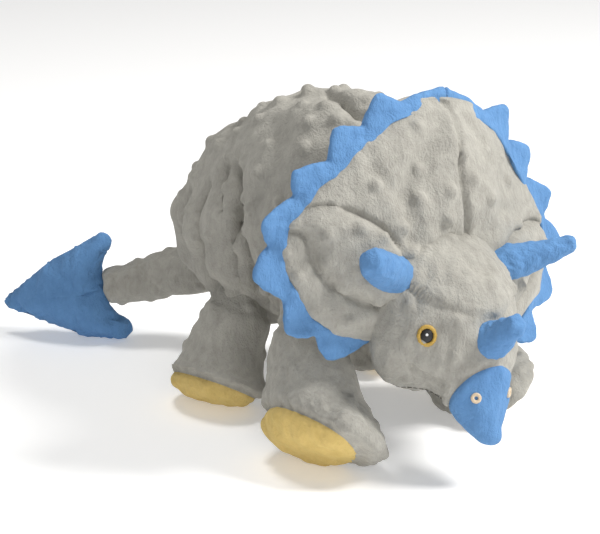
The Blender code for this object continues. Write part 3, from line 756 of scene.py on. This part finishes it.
# The foot's rings: distance past the sole's middle, share of its length, share of its width
FOOT_RINGS = ((-9.0, 1.03, 1.05), (0.5, 0.95, 0.93), (4.5, 0.6, 0.6))
FRONT_LEFT_LEG = {
    "hip": (-50.0, 43.0, 78.0),
    "knee": (-46.0, 49.0, 62.0),
    "ankle": (-36.0, 56.0, 37.0),
    "sole": (-16.0, 67.0, 14.6),
    "faces": (0.24, 0.5, -0.83),
    "seam_tilt": (-0.12, 0.16, 0.0),
    "size": (41.0, 28.0),
}
FRONT_RIGHT_LEG = {
    "hip": (-50.0, -43.0, 78.0),
    "knee": (-42.0, -50.0, 62.0),
    "ankle": (-24.0, -61.0, 42.0),
    "sole": (3.0, -75.0, 18.4),
    "faces": (0.26, -0.64, -0.72),
    "seam_tilt": (-0.14, -0.2, 0.0),
    "size": (42.0, 30.0),
}
REAR_LEFT_LEG = {
    "hip": (-124.0, 42.0, 64.0),
    "knee": (-123.0, 49.0, 49.0),
    "ankle": (-121.0, 58.0, 29.0),
    "sole": (-118.0, 66.0, 12.0),
    "faces": (0.2, 0.45, -0.87),
    "seam_tilt": (-0.06, 0.08, 0.0),
    "size": (34.0, 27.0),
}
REAR_RIGHT_LEG = {
    key: (value[0], -value[1], value[2]) if len(value) == 3 else value for key, value in REAR_LEFT_LEG.items()
}


def make_leg(name, leg, seed):
    """A stuffed leg that is cut at its seam into the grey fabric and the yellow sole."""
    hip = np.array(leg["hip"])
    knee, ankle, sole = (np.array(leg[place]) - hip for place in ("knee", "ankle", "sole"))
    foot, down = unit(leg["faces"]), unit(knee)
    length, width = leg["size"]
    forward = (1.0, 0.0, 0.0)
    rings = root_rings(down, forward, HIP_RADIUS, SIDES)
    rings.append(ring(knee, down, forward, KNEE_RADIUS + 1.0, KNEE_RADIUS + 1.0, SIDES))
    middle = ankle + (sole - ankle) * 0.25
    rings.append(ring(middle, down + (foot - down) * 0.5, forward, length * 0.70, width * 0.88, SIDES))
    for distance, long_share, wide_share in FOOT_RINGS:
        place = sole + foot * distance
        rings.append(ring(place, foot, forward, length * long_share, width * wide_share, SIDES))
    form = lofted(rings, 3)
    seam_at = sole - foot * SEAM_ABOVE_SOLE
    seam_faces = unit(foot + np.asarray(leg["seam_tilt"]))
    sewn = np.abs((form.points - seam_at) @ seam_faces) < HELD_WIDTH
    root = form.points @ down < HIP_RADIUS * 0.4
    form = refined(puffed(form, sewn | root, slack=0.05, cap=2.5), 1)
    height = (form.points - seam_at) @ seam_faces
    form.push(-1.9 * hump(height, 1.8))
    below = smooth(0.0, 6.0, height)
    form.push(1.2 * below + 0.9 * below * ripples(form.points, 11.0, seed + 2))
    above = 1.0 - below
    form.push(above * 1.1 * ripples(form.points, 21.0, seed, (1.0, 1.0, 1.4)))
    form.push(above * 0.5 * ripples(form.points, 8.0, seed + 1))
    across = unit(np.cross(foot, forward))
    for side in (-1.0, 1.0):
        out = across * side
        line = [knee + out * KNEE_RADIUS, middle + out * width * 0.9, seam_at + out * width]
        form.groove(line, 1.5, 1.2)
    ground = -hip[2] + FLOOR_GAP
    form.points[:, 2] = np.maximum(form.points[:, 2], ground)
    upper, under = cut_in_two(form, seam_at, seam_faces)
    where = placed_at(hip)
    fabric = piece(name + "_leg_plush", upper, where, GREY)
    dotted(fabric, spacing=19.0, height=1.6, seed=seed, radius=5.8)
    body = name + "_leg"
    bend = ("torso", body, hip + STAND - down * HIP_RADIUS * 0.9, hip + STAND + down * 2.0)
    finish(fabric, (body + "_skin", body + "_filling"), bend=bend)
    pad = piece(name + "_sole_plush", under, where, YELLOW)
    finish(pad, (name + "_sole",), body=body)


# --- tail --------------------------------------------------------------------

TAIL_ROOT = np.array((-206.0, -6.0, 58.0))
BLADE_ROOT = np.array((-258.0, -53.0, 38.5))
BLADE_TIP = np.array((-315.0, -102.0, 22.0))
# The blade's outline: along the tail's line, and up
BLADE_OUTLINE = (
    (76.0, 2.0),
    (58.0, 12.0),
    (38.0, 23.0),
    (18.0, 30.0),
    (6.0, 34.0),
    (-2.0, 35.0),
    (-6.0, 30.0),
    (-1.0, 22.0),
    (4.0, 15.0),
    (4.0, 0.0),
    (4.0, -15.0),
    (-3.0, -24.0),
    (-5.0, -31.0),
    (0.0, -36.5),
    (11.0, -36.0),
    (30.0, -29.0),
    (55.0, -15.0),
    (74.0, -4.0),
)
TAIL_BEND = np.array((-7.0, 7.0, -2.0))
TAIL_ROOT_RADIUS = 15.0
# Creases around the tail: place along it, tilt and depth
TAIL_CREASES = ((8, 0.6, 1.8), (50, 0.5, 1.3), (60, -0.4, 1.5))
# Folds along the tail: height on its side, and depth
TAIL_FOLDS = ((-9.0, 1.8), (3.0, 1.4), (12.0, 1.2))
BLADE_MIDDLE = np.array((22.0, 0.0))
BLADE_HALF_THICKNESS = 9.5


def make_tail():
    """A stuffed tail that bends a little between its root and the blade."""
    side = (0.0, 0.0, 1.0)
    end = BLADE_ROOT - TAIL_ROOT
    middle = end * 0.5 + TAIL_BEND
    start_way, end_way = unit(middle), unit(end - middle)
    rings = root_rings(start_way, side, TAIL_ROOT_RADIUS, SIDES)
    rings.append(ring(middle * 0.5, start_way, side, 16.5, 15.5, SIDES))
    rings.append(ring(middle, end - middle * 0.4, side, 15.5, 15.0, SIDES))
    rings.append(ring(middle + (end - middle) * 0.6, end_way, side, 14.5, 14.0, SIDES))
    rings.append(ring(end, end_way, side, 13.6, 13.2, SIDES))
    rings.append(ring(end + end_way * 6.0, end_way, side, 11.0, 10.5, SIDES))
    form = lofted(rings, 4)
    along = form.points @ unit(end)
    for place, tilt, depth in TAIL_CREASES:
        form.push(-depth * hump(along - place - tilt * (form.points[:, 2] - 2.0), 3.0))
    for shift, depth in TAIL_FOLDS:
        lift = np.array((0.0, -12.0, 0.0)) + np.array((0.0, 0.0, shift))
        form.groove([lift, middle + lift + (0.0, 0.0, 3.0), end + lift * 0.9], 2.6, depth)
    form.crumple((1.3, 24.0, 31, (1.6, 1.6, 1.0)), (0.4, 8.0, 32, (1.6, 1.6, 1.0)))
    made = piece("tail_plush", form, placed_at(TAIL_ROOT), GREY)
    dotted(made, spacing=18.0, height=1.6, seed=9, radius=5.6)
    start = TAIL_ROOT + STAND - unit(end) * 12.0
    bend = ("torso", "tail", start, start + unit(end) * 18.0)
    finish(made, ("tail_skin", "tail_filling"), bend=bend)


def pillow(outline, centre, rows, half_thickness):
    """A closed two-sided cushion over a flat outline: points are (along, up, through)."""
    outline = np.asarray(outline, float)
    count = len(outline)
    points, faces = [], []
    for side in (1.0, -1.0):
        base = len(points)
        points.append((centre[0], centre[1], side * half_thickness(0.0)))
        last = rows if side > 0 else rows - 1
        for row in range(1, last + 1):
            share = sin(0.5 * pi * row / rows)
            for edge in outline:
                flat = np.asarray(centre) + (edge - centre) * share
                points.append((flat[0], flat[1], side * half_thickness(share)))
        for n in range(count):
            m = (n + 1) % count
            faces.append((base, base + 1 + n, base + 1 + m))
            for row in range(1, rows):
                a = base + 1 + (row - 1) * count
                b = a + count if (side > 0 or row < rows - 1) else 1 + (rows - 1) * count
                faces.append((a + n, b + n, b + m, a + m))
    return points, faces


def make_blade():
    """The blue cushion at the tail's end, shaped like an arrow's head."""
    way = unit(BLADE_TIP - BLADE_ROOT)
    up = unit(np.array((0.0, 0.0, 1.0)) - way * way[2])
    through = np.cross(way, up)
    loop = spline([*BLADE_OUTLINE, BLADE_OUTLINE[0]], 145)[:-1]

    def half_thickness(share):
        return BLADE_HALF_THICKNESS * sqrt(max(1.0 - share**2.2, 0.0))

    points, faces = pillow(loop, BLADE_MIDDLE, 16, half_thickness)
    points = np.array(points)
    form = Form(points[:, :1] * way + points[:, 1:2] * up + points[:, 2:] * through, faces)
    flat = points[:, :2]
    edge_gap = np.abs(points[:, 2])
    form = puffed(form, edge_gap < 0.6, slack=0.06, cap=4.0)
    near_barb = smooth(26.0, 4.0, flat[:, 0])
    form.points = form.points + through * (near_barb * 4.0 * np.abs(flat[:, 1] / 34.0) ** 2)[:, None]
    form.crumple((1.0, 17.0, 41), (0.35, 6.0, 42))
    made = piece("tail_blade_plush", form, placed_at(BLADE_ROOT), BLUE)
    nodes = ("tail_blade_face_left", "tail_blade_face_right", "tail_blade_filling")
    finish(made, nodes, body="tail_blade")


# --- head --------------------------------------------------------------------

HEAD_RINGS = (
    ((-6.0, -20.0), (1.0, 0.0), 24.0, 27.0),
    ((4.0, -24.0), (1.0, 0.0), 41.0, 43.0),
    ((19.0, -30.0), (1.0, -0.25), 48.0, 47.5),
    ((36.0, -43.0), (0.85, -0.5), 41.0, 40.0),
    ((53.0, -54.0), (0.72, -0.7), 27.0, 26.0),
    ((60.0, -67.0), (0.4, -0.92), 19.5, 17.5),
    ((68.0, -83.0), (0.3, -0.95), 12.5, 11.0),
    ((74.0, -93.0), (0.2, -0.98), 5.0, 5.0),
)
BEAK_SEAM = ((73.0, 0.0, -46.0), (0.84, 0.0, -0.54))
EYE = (49.0, 33.0, -33.0)
NOSTRIL = (73.0, 12.5, -64.0)
# Rows of the embroidered rings, from the inner edge to the outer: radius and height
EYE_RING = ((3.6, -1.0), (3.6, 0.7), (4.0, 1.15), (4.7, 1.25), (5.3, 0.9), (5.6, 0.2), (5.6, -1.0))
NOSTRIL_RING = ((1.1, -0.6), (1.1, 0.5), (1.5, 0.9), (2.4, 0.95), (3.0, 0.5), (3.1, -0.6))
EYE_STRETCH = 1.12
# Creases and lobes of the head on its left side, mirrored for the right
BROW = ((30, 36, -8), (40, 31, -16), (49, 23, -20), (57, 13, -22), (60, 4, -24))
JAW = ((2, 30, -66), (22, 28, -76), (42, 20, -80), (58, 10, -86))
CROWN_SEAM = ((10, 17, 20), (30, 17, 8), (46, 15, -8), (60, 11, -26))
HEAD_LOBES = (
    ((20, 22, 8), 15.0, 3.0),
    ((48, 10, -10), 9.0, 3.0),
    ((30, 44, -44), 17.0, 4.0),
    ((20, 36, -64), 13.0, 5.0),
    ((54, 20, -48), 8.0, 2.0),
)
HEAD_CREASES = (
    (((34, 18, 2), (42, 17, -6), (48, 22, -15)), 2.2, 3.0),
    (JAW, 1.8, 4.5),
    (((40, 36, -54), (50, 28, -58), (57, 20, -60)), 3.2, 2.0),
)


def on_side(points, side):
    return [(x, side * y, z) for x, y, z in points]


def make_head():
    """The grey head and the blue beak that is sewn to it."""
    rings = []
    for (x, z), (dx, dz), half_width, half_height in HEAD_RINGS:
        middle, axis = (x, 0.0, z), (dx, 0.0, dz)
        rings.append(ring(middle, axis, (0.0, 1.0, 0.0), half_width, half_height, SIDES, sag=0.05))
    form = lofted(rings, 5)
    for side in (1, -1):
        brow = on_side(BROW, side)
        form.roll(brow, 10.0, 4.5, (30, side * 14, 6))
        form.groove(brow, 2.2, 4.2)
        for middle, radius, height in HEAD_LOBES:
            form.swell(on_side([middle], side)[0], radius, height)
        for path, width, depth in HEAD_CREASES:
            form.groove(on_side(path, side), width, depth)
    for side in (1, -1):
        form.groove(on_side(CROWN_SEAM, side), 1.8, 1.3)
    point, normal = np.array(BEAK_SEAM[0]), unit(BEAK_SEAM[1])
    form.push(-1.6 * hump((form.points - point) @ normal, 1.7))
    form.crumple((1.1, 24.0, 51), (0.5, 9.0, 52))
    face, beak = cut_in_two(form, point, normal)
    made = piece("head_plush", face, HEAD, GREY)
    dotted(made, spacing=18.0, height=1.3, seed=12, radius=6.0)
    nodes = ("crown_panel", "chin_panel", "cheek_left", "cheek_right", "head_filling")
    finish(made, nodes, body="head")
    # Stitches along the jaw seam, laid in the jaw crease; their dark thread colour is painted shade for that
    # crease
    for word, side in (("left", 1), ("right", -1)):
        jaw = on_side(JAW, side)
        stitched("jaw_seam_shade_stitches_" + word, jaw, face, HEAD, SEAM_SHADE_THREAD, "head")
    made = piece("beak_plush", beak, HEAD, BLUE)
    finish(made, ("beak_skin",), body="head")
    return form


def stitched(name, path, form, where, look, body):
    """Short stitches laid on a form along a path."""
    line = spline(path, 90)
    normals = form.normals()
    laid = []
    for point in line:
        near = np.argmin(np.linalg.norm(form.points - point, axis=1))
        laid.append(form.points[near] + normals[near] * 0.1)
    laid = np.array(laid)
    kernel = np.ones(9) / 9.0
    even = np.column_stack([np.convolve(laid[:, n], kernel, "valid") for n in range(3)])
    mesh = bpy.data.meshes.new(name)
    points = placed(even, where) * MM
    mesh.from_pydata([tuple(point) for point in points], [(n, n + 1) for n in range(len(points) - 1)], [])
    made = in_scene(name, mesh)
    run_nodes(made, stitches_tree, {"Material": look})
    finish(made, body=body)


def disc_form(rows, sides=40):
    """A round form turned from rows of (radius, height)."""
    points, faces = [], []
    for radius, height in rows:
        for n in range(sides):
            turn = 2.0 * pi * n / sides
            points.append((radius * cos(turn), radius * sin(turn), height))
    count = len(rows)
    for row in range(count):
        following = (row + 1) % count
        for n in range(sides):
            m = (n + 1) % sides
            faces.append((row * sides + n, row * sides + m, following * sides + m, following * sides + n))
    return Form(points, faces)


def domed_form(radius, height, sides=40):
    rows = [(radius, -1.0), (radius, 0.2)]
    rows += [(radius * cos(t), 0.2 + height * sin(t)) for t in np.linspace(0.25, 1.45, 6)]
    return disc_form([(0.01, -1.0), *rows, (0.01, height + 0.2)], sides)


def on_surface(form, place, lift=0.0):
    """A frame that sits on a form near a place and faces out of it."""
    place = np.asarray(place, float)
    gap = np.linalg.norm(form.points - place, axis=1)
    near = np.argsort(gap)[:60]
    out = unit(form.normals()[near].mean(axis=0))
    base = form.points[near[0]]
    first = unit(np.cross((0.0, 0.0, 1.0), out))
    turn = np.column_stack((first, np.cross(out, first), out))
    return turn, base + out * lift


def within(outer, inner):
    """One frame inside another."""
    turn, offset = outer
    inner_turn, inner_offset = inner
    return turn @ inner_turn, inner_offset @ turn.T + offset


def make_face(form):
    for word, side in (("left", 1), ("right", -1)):
        spot = on_surface(form, (EYE[0], side * EYE[1], EYE[2]), 0.1)
        where = within(HEAD, spot)
        ring_form = disc_form(EYE_RING)
        ring_form.points[:, 1] *= EYE_STRETCH
        ring_form.push(0.12 * np.sin(26.0 * np.arctan2(ring_form.points[:, 1], ring_form.points[:, 0])))
        made = piece("eye_ring_stitching_" + word, ring_form, where, GOLD)
        finish(made, ("eye_ring_" + word,), body="head")
        pupil = domed_form(3.7, 1.5)
        pupil.points[:, 1] *= EYE_STRETCH
        made = piece("pupil_stitching_" + word, pupil, where, BLACK)
        finish(made, ("pupil_" + word,), body="head")
        glint = domed_form(0.8, 0.35, 20)
        turn, offset = where
        made = piece("eye_glint_" + word, glint, (turn, offset + turn @ np.array((0.0, 0.7, 1.45))), WHITE)
        finish(made, body="head")
        spot = on_surface(form, (NOSTRIL[0], side * NOSTRIL[1], NOSTRIL[2]), 0.0)
        where = within(HEAD, spot)
        nostril = disc_form(NOSTRIL_RING, 30)
        nostril.push(0.08 * np.sin(14.0 * np.arctan2(nostril.points[:, 1], nostril.points[:, 0])))
        made = piece("nostril_stitching_" + word, nostril, where, TAN)
        finish(made, ("nostril_" + word,), body="head")


# --- horns -------------------------------------------------------------------


HORN_RADIUS = 11.5
HORN_BEND = -0.6


def make_horn(name, root, tip, widths, seed):
    """A stuffed blue horn, gathered at its root and near its tip."""
    root, tip = np.array(root, float), np.array(tip, float)
    reach = tip - root
    way = unit(reach)
    side = (0.0, 0.0, 1.0)
    rings = root_rings(way, side, HORN_RADIUS, SIDES)
    for share, width in widths:
        middle = reach * share + np.array((0.0, 0.0, 1.0)) * HORN_BEND * sin(pi * share) * 2.0
        rings.append(ring(middle, way, side, HORN_RADIUS * width, HORN_RADIUS * width, SIDES))
    form = lofted(rings, 4)
    along = form.points @ way / np.linalg.norm(reach)
    gather = 0.55 * hump(along - 0.9, 0.07) + 0.35 * hump(along - 0.12, 0.08)
    across = np.cross(way, side)
    turn = np.arctan2(form.points @ across, form.points @ np.cross(across, way))
    form.push(gather * np.sin(turn * 5.0 + seed))
    form.push(0.45 * ripples(form.points, 10.0, seed) + 0.25 * ripples(form.points, 4.5, seed + 1))
    turn_head, offset_head = HEAD
    made = piece(name + "_plush", form, (turn_head, offset_head + turn_head @ root), BLUE)
    finish(made, (name + "_skin", name + "_filling"), body=name)


def make_horns():
    long_horn = ((0.2, 0.95), (0.45, 0.80), (0.66, 0.64), (0.8, 0.52), (0.93, 0.46), (1.02, 0.34))
    full_horn = ((0.2, 0.98), (0.45, 0.92), (0.66, 0.86), (0.8, 0.78), (0.93, 0.66), (1.02, 0.46))
    short_horn = ((0.22, 0.92), (0.5, 0.72), (0.75, 0.60), (0.92, 0.54), (1.02, 0.34))
    make_horn("brow_horn_left", (21, 36, -5), (45, 75, 12.5), long_horn, 61)
    make_horn("brow_horn_right", (21, -36, -5), (45, -75, 12.5), full_horn, 64)
    make_horn("nose_horn", (66, 0, -34), (87, 0, -17), short_horn, 67)


# --- frill -------------------------------------------------------------------

FRILL_SEAM = (
    (0.0, 89.0),
    (31.5, 84.0),
    (54.5, 68.0),
    (74.5, 47.0),
    (94.0, 25.5),
    (104.5, -3.5),
    (93.0, -31.0),
    (72.0, -49.0),
    (40.0, -54.0),
)
FRILL_MIDDLE = np.array((0.0, 12.0))
FRILL_HALF_THICKNESS = 7.5
FRILL_RIM = -9.0
FRILL_DISH = 26.0
FRILL_LEAN_FROM = -8.0
FRILL_LEAN = 0.36
STEPS_PER_SPIKE = 14
# The trim starts this far inside the frill's seam, and between spikes it ends this far outside it
TRIM_INSET = 7.5
TRIM_LIP = 1.2
SPIKE_HEIGHT = 13.0
CREST_HEIGHT = 6.0
SPIKE_TILT = 3.0
TILT_SEED = 5
# Creases of the frill's front: path as (half width, height), width and depth
FRILL_CREASES = (
    (((-7, 90), (-1, 79), (0, 57), (3, 36), (11, 16)), 1.8, 3.6),
    (((-9, 84), (-19, 62), (-33, 40), (-30, 12)), 6.0, 4.5),
    (((3, 86), (18, 70), (34, 52), (40, 32)), 5.0, 3.0),
    (((-58, 60), (-52, 46), (-40, 34)), 5.0, 2.0),
)
# The seams that bound the side lobes: the upper arch and the lower fold, on both sides
FRILL_ARCH = ((106, 4), (100, 12), (91, 19), (77, 24), (62, 22), (48, 16), (37, 5), (30, -8))
FRILL_FOLD = ((106, 4), (93, 8), (86, 3), (81, -8), (74, -17), (63, -23), (50, -27), (34, -26))


def seam_points(steps):
    left = [np.array(point) for point in FRILL_SEAM]
    points = [np.array((-point[0], point[1])) for point in reversed(left[1:])] + left
    return spline(points, (len(points) - 1) * steps + 1)


def dish(share, height):
    lean = FRILL_LEAN * np.maximum(FRILL_LEAN_FROM - height, 0.0)
    return FRILL_RIM + FRILL_DISH * (1.0 - share**2) + lean


def inside(points, outline):
    """1 where a flat point lies inside a closed outline, else 0."""
    crossed = np.zeros(len(points), bool)
    for a, b in zip(outline, [*outline[1:], outline[0]]):
        spans = (a[1] > points[:, 1]) != (b[1] > points[:, 1])
        rise = b[1] - a[1] if b[1] != a[1] else 1e-9
        crossed ^= spans & (points[:, 0] < a[0] + (b[0] - a[0]) * (points[:, 1] - a[1]) / rise)
    return crossed.astype(float)


def make_frill():
    """The grey frill: a thin cushion that is dished, creased and leans back."""
    path = seam_points(16)
    bottom = [path[-1] + (path[0] - path[-1]) * n / 40.0 for n in range(1, 40)]
    bottom = [np.array((p[0], p[1] + 8.0 * (1.0 - (p[0] / 40.0) ** 2))) for p in bottom]
    outline = np.array([*path, *bottom])

    def half_thickness(share):
        return FRILL_HALF_THICKNESS * sqrt(max(1.0 - share**3.0, 0.0)) + 0.4

    inset = []
    for p in outline:
        reach = np.linalg.norm(p - FRILL_MIDDLE)
        margin = 4.0 - 5.5 * float(smooth(60.0, 88.0, p[1]))
        inset.append(FRILL_MIDDLE + (p - FRILL_MIDDLE) * (1.0 - margin / reach))
    flat, faces = pillow(inset, FRILL_MIDDLE, 64, half_thickness)
    flat = np.array(flat)
    count = len(inset)
    reach = np.linalg.norm(flat[:, :2] - FRILL_MIDDLE, axis=1)
    turn = np.arctan2(flat[:, 1] - FRILL_MIDDLE[1], flat[:, 0])
    edge_turn = np.arctan2(outline[:, 1] - FRILL_MIDDLE[1], outline[:, 0])
    order = np.argsort(edge_turn)
    edge_reach = np.linalg.norm(outline - FRILL_MIDDLE, axis=1)
    full = np.interp(turn, edge_turn[order], edge_reach[order], period=2.0 * pi)
    share = np.clip(reach / full, 0.0, 1.0)
    x = dish(share, flat[:, 1]) + flat[:, 2]
    form = Form(np.column_stack((x, flat[:, 0], flat[:, 1])), faces)

    # Creases, then the raised lobes between the arch and the fold, on the front only
    wide, high = flat[:, 0], flat[:, 1]
    front = smooth(0.0, 2.0, flat[:, 2])
    plane = np.column_stack((np.abs(wide), high, np.zeros(len(wide))))
    straight = np.column_stack((wide, high, np.zeros(len(wide))))
    for points, width, depth in FRILL_CREASES:
        line = spline([(a, b, 0.0) for a, b in points], 24)
        form.points[:, 0] -= front * depth * hump(away_from(straight, line), width)
    arch = spline([(a, b, 0.0) for a, b in FRILL_ARCH], 40)
    fold = spline([(a, b, 0.0) for a, b in FRILL_FOLD], 40)
    to_arch, to_fold = away_from(plane, arch), away_from(plane, fold)
    lobe = inside(plane, [*arch, *fold[::-1]])
    below = inside(plane, [*fold, np.array((30.0, -70.0, 0.0)), np.array((120.0, -70.0, 0.0))])
    rounded = 1.0 - np.exp(-np.minimum(to_arch, to_fold) / 6.0)
    from_rim = away_from(straight, np.column_stack((outline, np.zeros(len(outline)))))
    rim = smooth(0.0, 16.0, from_rim)
    edge = smooth(1.0, 9.0, from_rim)
    form.points[:, 0] += front * lobe * 9.0 * rounded * (0.35 + 0.65 * rim)
    form.points[:, 0] += front * below * 5.0 * (1.0 - np.exp(-to_fold / 11.0)) * rim
    form.points[:, 0] -= front * edge * (3.2 * hump(to_arch, 1.7) + 3.2 * hump(to_fold, 2.4))
    peak = hump(wide + 4.0, 16.0) * smooth(30.0, 84.0, high) * 7.0
    form.points[:, 0] += front * peak
    form.points[:, 0] += 2.4 * ripples(np.column_stack((0 * wide, wide, high)), 42.0, 71)
    form.points[:, 0] += 0.7 * ripples(form.points, 13.0, 72)
    room = smooth(2.0, 12.0, from_rim)
    made = piece("frill_plush", form, FRILL, GREY)
    dotted(made, spacing=15.0, height=3.0, seed=15, radius=6.4, room=room)
    nodes = ("frill_front_panel", "frill_back_panel", "frill_filling")
    finish(made, nodes, body="head")


def make_trim():
    """The blue trim, in two strips that meet at the crest, each with its row of soft pointed spikes."""
    path = seam_points(STEPS_PER_SPIKE)
    count = len(path)
    crest = (count - 1) / 2.0
    rows = np.linspace(0.0, 1.0, 9)
    random = np.random.RandomState(TILT_SEED)
    tilt = random.uniform(-SPIKE_TILT, SPIKE_TILT, 40)
    for word, picked in (("right", range(0, int(crest) + 1)), ("left", range(int(crest), count))):
        points, faces = [], []
        for n in picked:
            edge = path[n]
            out = unit(edge - FRILL_MIDDLE)
            reach = np.linalg.norm(edge - FRILL_MIDDLE)
            beat = (n / STEPS_PER_SPIKE) % 1.0
            rise = (1.0 - abs(2.0 * beat - 1.0)) ** 0.85
            height = SPIKE_HEIGHT
            if abs(n - crest) <= STEPS_PER_SPIKE:
                rise = 1.0 - abs(n - crest) / STEPS_PER_SPIKE
                height = CREST_HEIGHT
            rise = 0.5 * (rise + smooth(0.0, 1.0, rise))
            spike = int(n / STEPS_PER_SPIKE)
            section = []
            for side in (1.0, -1.0):
                for row in rows if side > 0 else rows[-2:0:-1]:
                    length = -TRIM_INSET + row * (TRIM_INSET + TRIM_LIP + height * rise)
                    flat = edge + out * length
                    share = min((reach + length) / reach, 1.0)
                    half = (3.4 if row > 0 else 2.6) * sqrt(max(1.0 - row**2.4, 0.0)) + 0.25
                    curl = tilt[spike] * rise * row**2
                    section.append((dish(share, flat[1]) + side * half + curl, flat[0], flat[1]))
            points += section
        size = len(section)
        total = len(picked)
        for n in range(total - 1):
            for k in range(size):
                m = (k + 1) % size
                faces.append((n * size + k, n * size + m, (n + 1) * size + m, (n + 1) * size + k))
        faces.append(tuple(range(size)))
        faces.append(tuple(range((total - 1) * size, total * size)))
        form = subdivided(mesh_of(points, faces), 1)
        form.push(0.35 * ripples(form.points, 7.0, 81) + 0.5 * ripples(form.points, 16.0, 82))
        made = piece("spike_trim_plush_" + word, form, FRILL, BLUE)
        finish(made, ("spike_trim_" + word,), body="head")


# --- what is inside ----------------------------------------------------------


def dress_inner_nodes():
    for name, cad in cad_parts.items():
        look = VINYL if "squeaker" in name else FIBRE
        cad.data.materials.clear()
        cad.data.materials.append(look)


# --- stage -------------------------------------------------------------------

VIEW_SIDE = radians(36.0)
VIEW_DOWN = radians(18.0)
VIEW_DISTANCE = 1.5
VIEW_LENS = 145.16
VIEW_TARGET = np.array((-121.0, 0.0, 77.6))


def view_axes():
    toward = np.array((cos(VIEW_DOWN) * cos(VIEW_SIDE), -cos(VIEW_DOWN) * sin(VIEW_SIDE), sin(VIEW_DOWN)))
    right = np.array((sin(VIEW_SIDE), cos(VIEW_SIDE), 0.0))
    return toward, right, np.cross(toward, right)


def make_camera():
    toward, right, up = view_axes()
    data = bpy.data.cameras.new("camera")
    data.lens = VIEW_LENS
    data.sensor_width = 36.0
    data.clip_end = 20.0
    made = in_scene("camera", data)
    turn = Matrix([[right[n], up[n], toward[n]] for n in range(3)]).to_4x4()
    target = Vector((VIEW_TARGET + STAND) * MM)
    made.matrix_world = Matrix.Translation(target + Vector(toward) * VIEW_DISTANCE) @ turn
    bpy.context.scene.camera = made


def area_light(name, place, size, energy, colour):
    data = bpy.data.lights.new(name, "AREA")
    data.shape = "DISK"
    data.size = size
    data.energy = energy
    data.color = colour
    made = in_scene(name, data)
    made.location = place
    made.rotation_euler = (Vector((0.0, 0.0, 0.1)) - Vector(place)).to_track_quat("-Z", "Y").to_euler()


def make_stage():
    toward, right, up = view_axes()
    key_place = Vector(toward * 0.62 + right * 1.15 + up * 1.1)
    fill_place = Vector(toward * 1.5 + right * 0.2 + up * 0.1)
    area_light("key", key_place, size=0.5, energy=27.0, colour=(1.0, 0.985, 0.96))
    area_light("fill", fill_place, size=0.9, energy=4.5, colour=(0.97, 0.98, 1.0))
    area_light("top", Vector((-0.25, -0.1, 1.6)), size=0.45, energy=9.0, colour=(1.0, 0.99, 0.97))
    world = bpy.data.worlds.new("studio")
    world.use_nodes = True
    world.node_tree.nodes["Background"].inputs["Color"].default_value = (1.0, 1.0, 1.0, 1.0)
    world.node_tree.nodes["Background"].inputs["Strength"].default_value = 0.24
    bpy.context.scene.world = world
    floor_mesh = bpy.data.meshes.new("floor")
    reach = 6.0
    corners = [(-reach, -reach, 0.0), (reach, -reach, 0.0), (reach, reach, 0.0), (-reach, reach, 0.0)]
    floor_mesh.from_pydata(corners, [], [(0, 1, 2, 3)])
    floor = in_scene("floor", floor_mesh)
    paper = bpy.data.materials.new("floor_paper")
    paper.use_nodes = True
    shader = paper.node_tree.nodes["Principled BSDF"]
    shader.inputs["Base Color"].default_value = (0.93, 0.93, 0.93, 1.0)
    shader.inputs["Roughness"].default_value = 0.9
    shader.inputs["Emission Color"].default_value = (1.0, 1.0, 1.0, 1.0)
    shader.inputs["Emission Strength"].default_value = 0.26
    floor_mesh.materials.append(paper)
    bpy.context.scene.view_settings.view_transform = "Standard"


make_camera()
make_stage()
dress_inner_nodes()
make_torso()
make_neck()
for leg_name, leg, leg_seed in (
    ("front_left", FRONT_LEFT_LEG, 101),
    ("front_right", FRONT_RIGHT_LEG, 111),
    ("rear_left", REAR_LEFT_LEG, 121),
    ("rear_right", REAR_RIGHT_LEG, 131),
):
    make_leg(leg_name, leg, leg_seed)
make_tail()
make_blade()
head_form = make_head()
make_face(head_form)
make_horns()
make_frill()
make_trim()
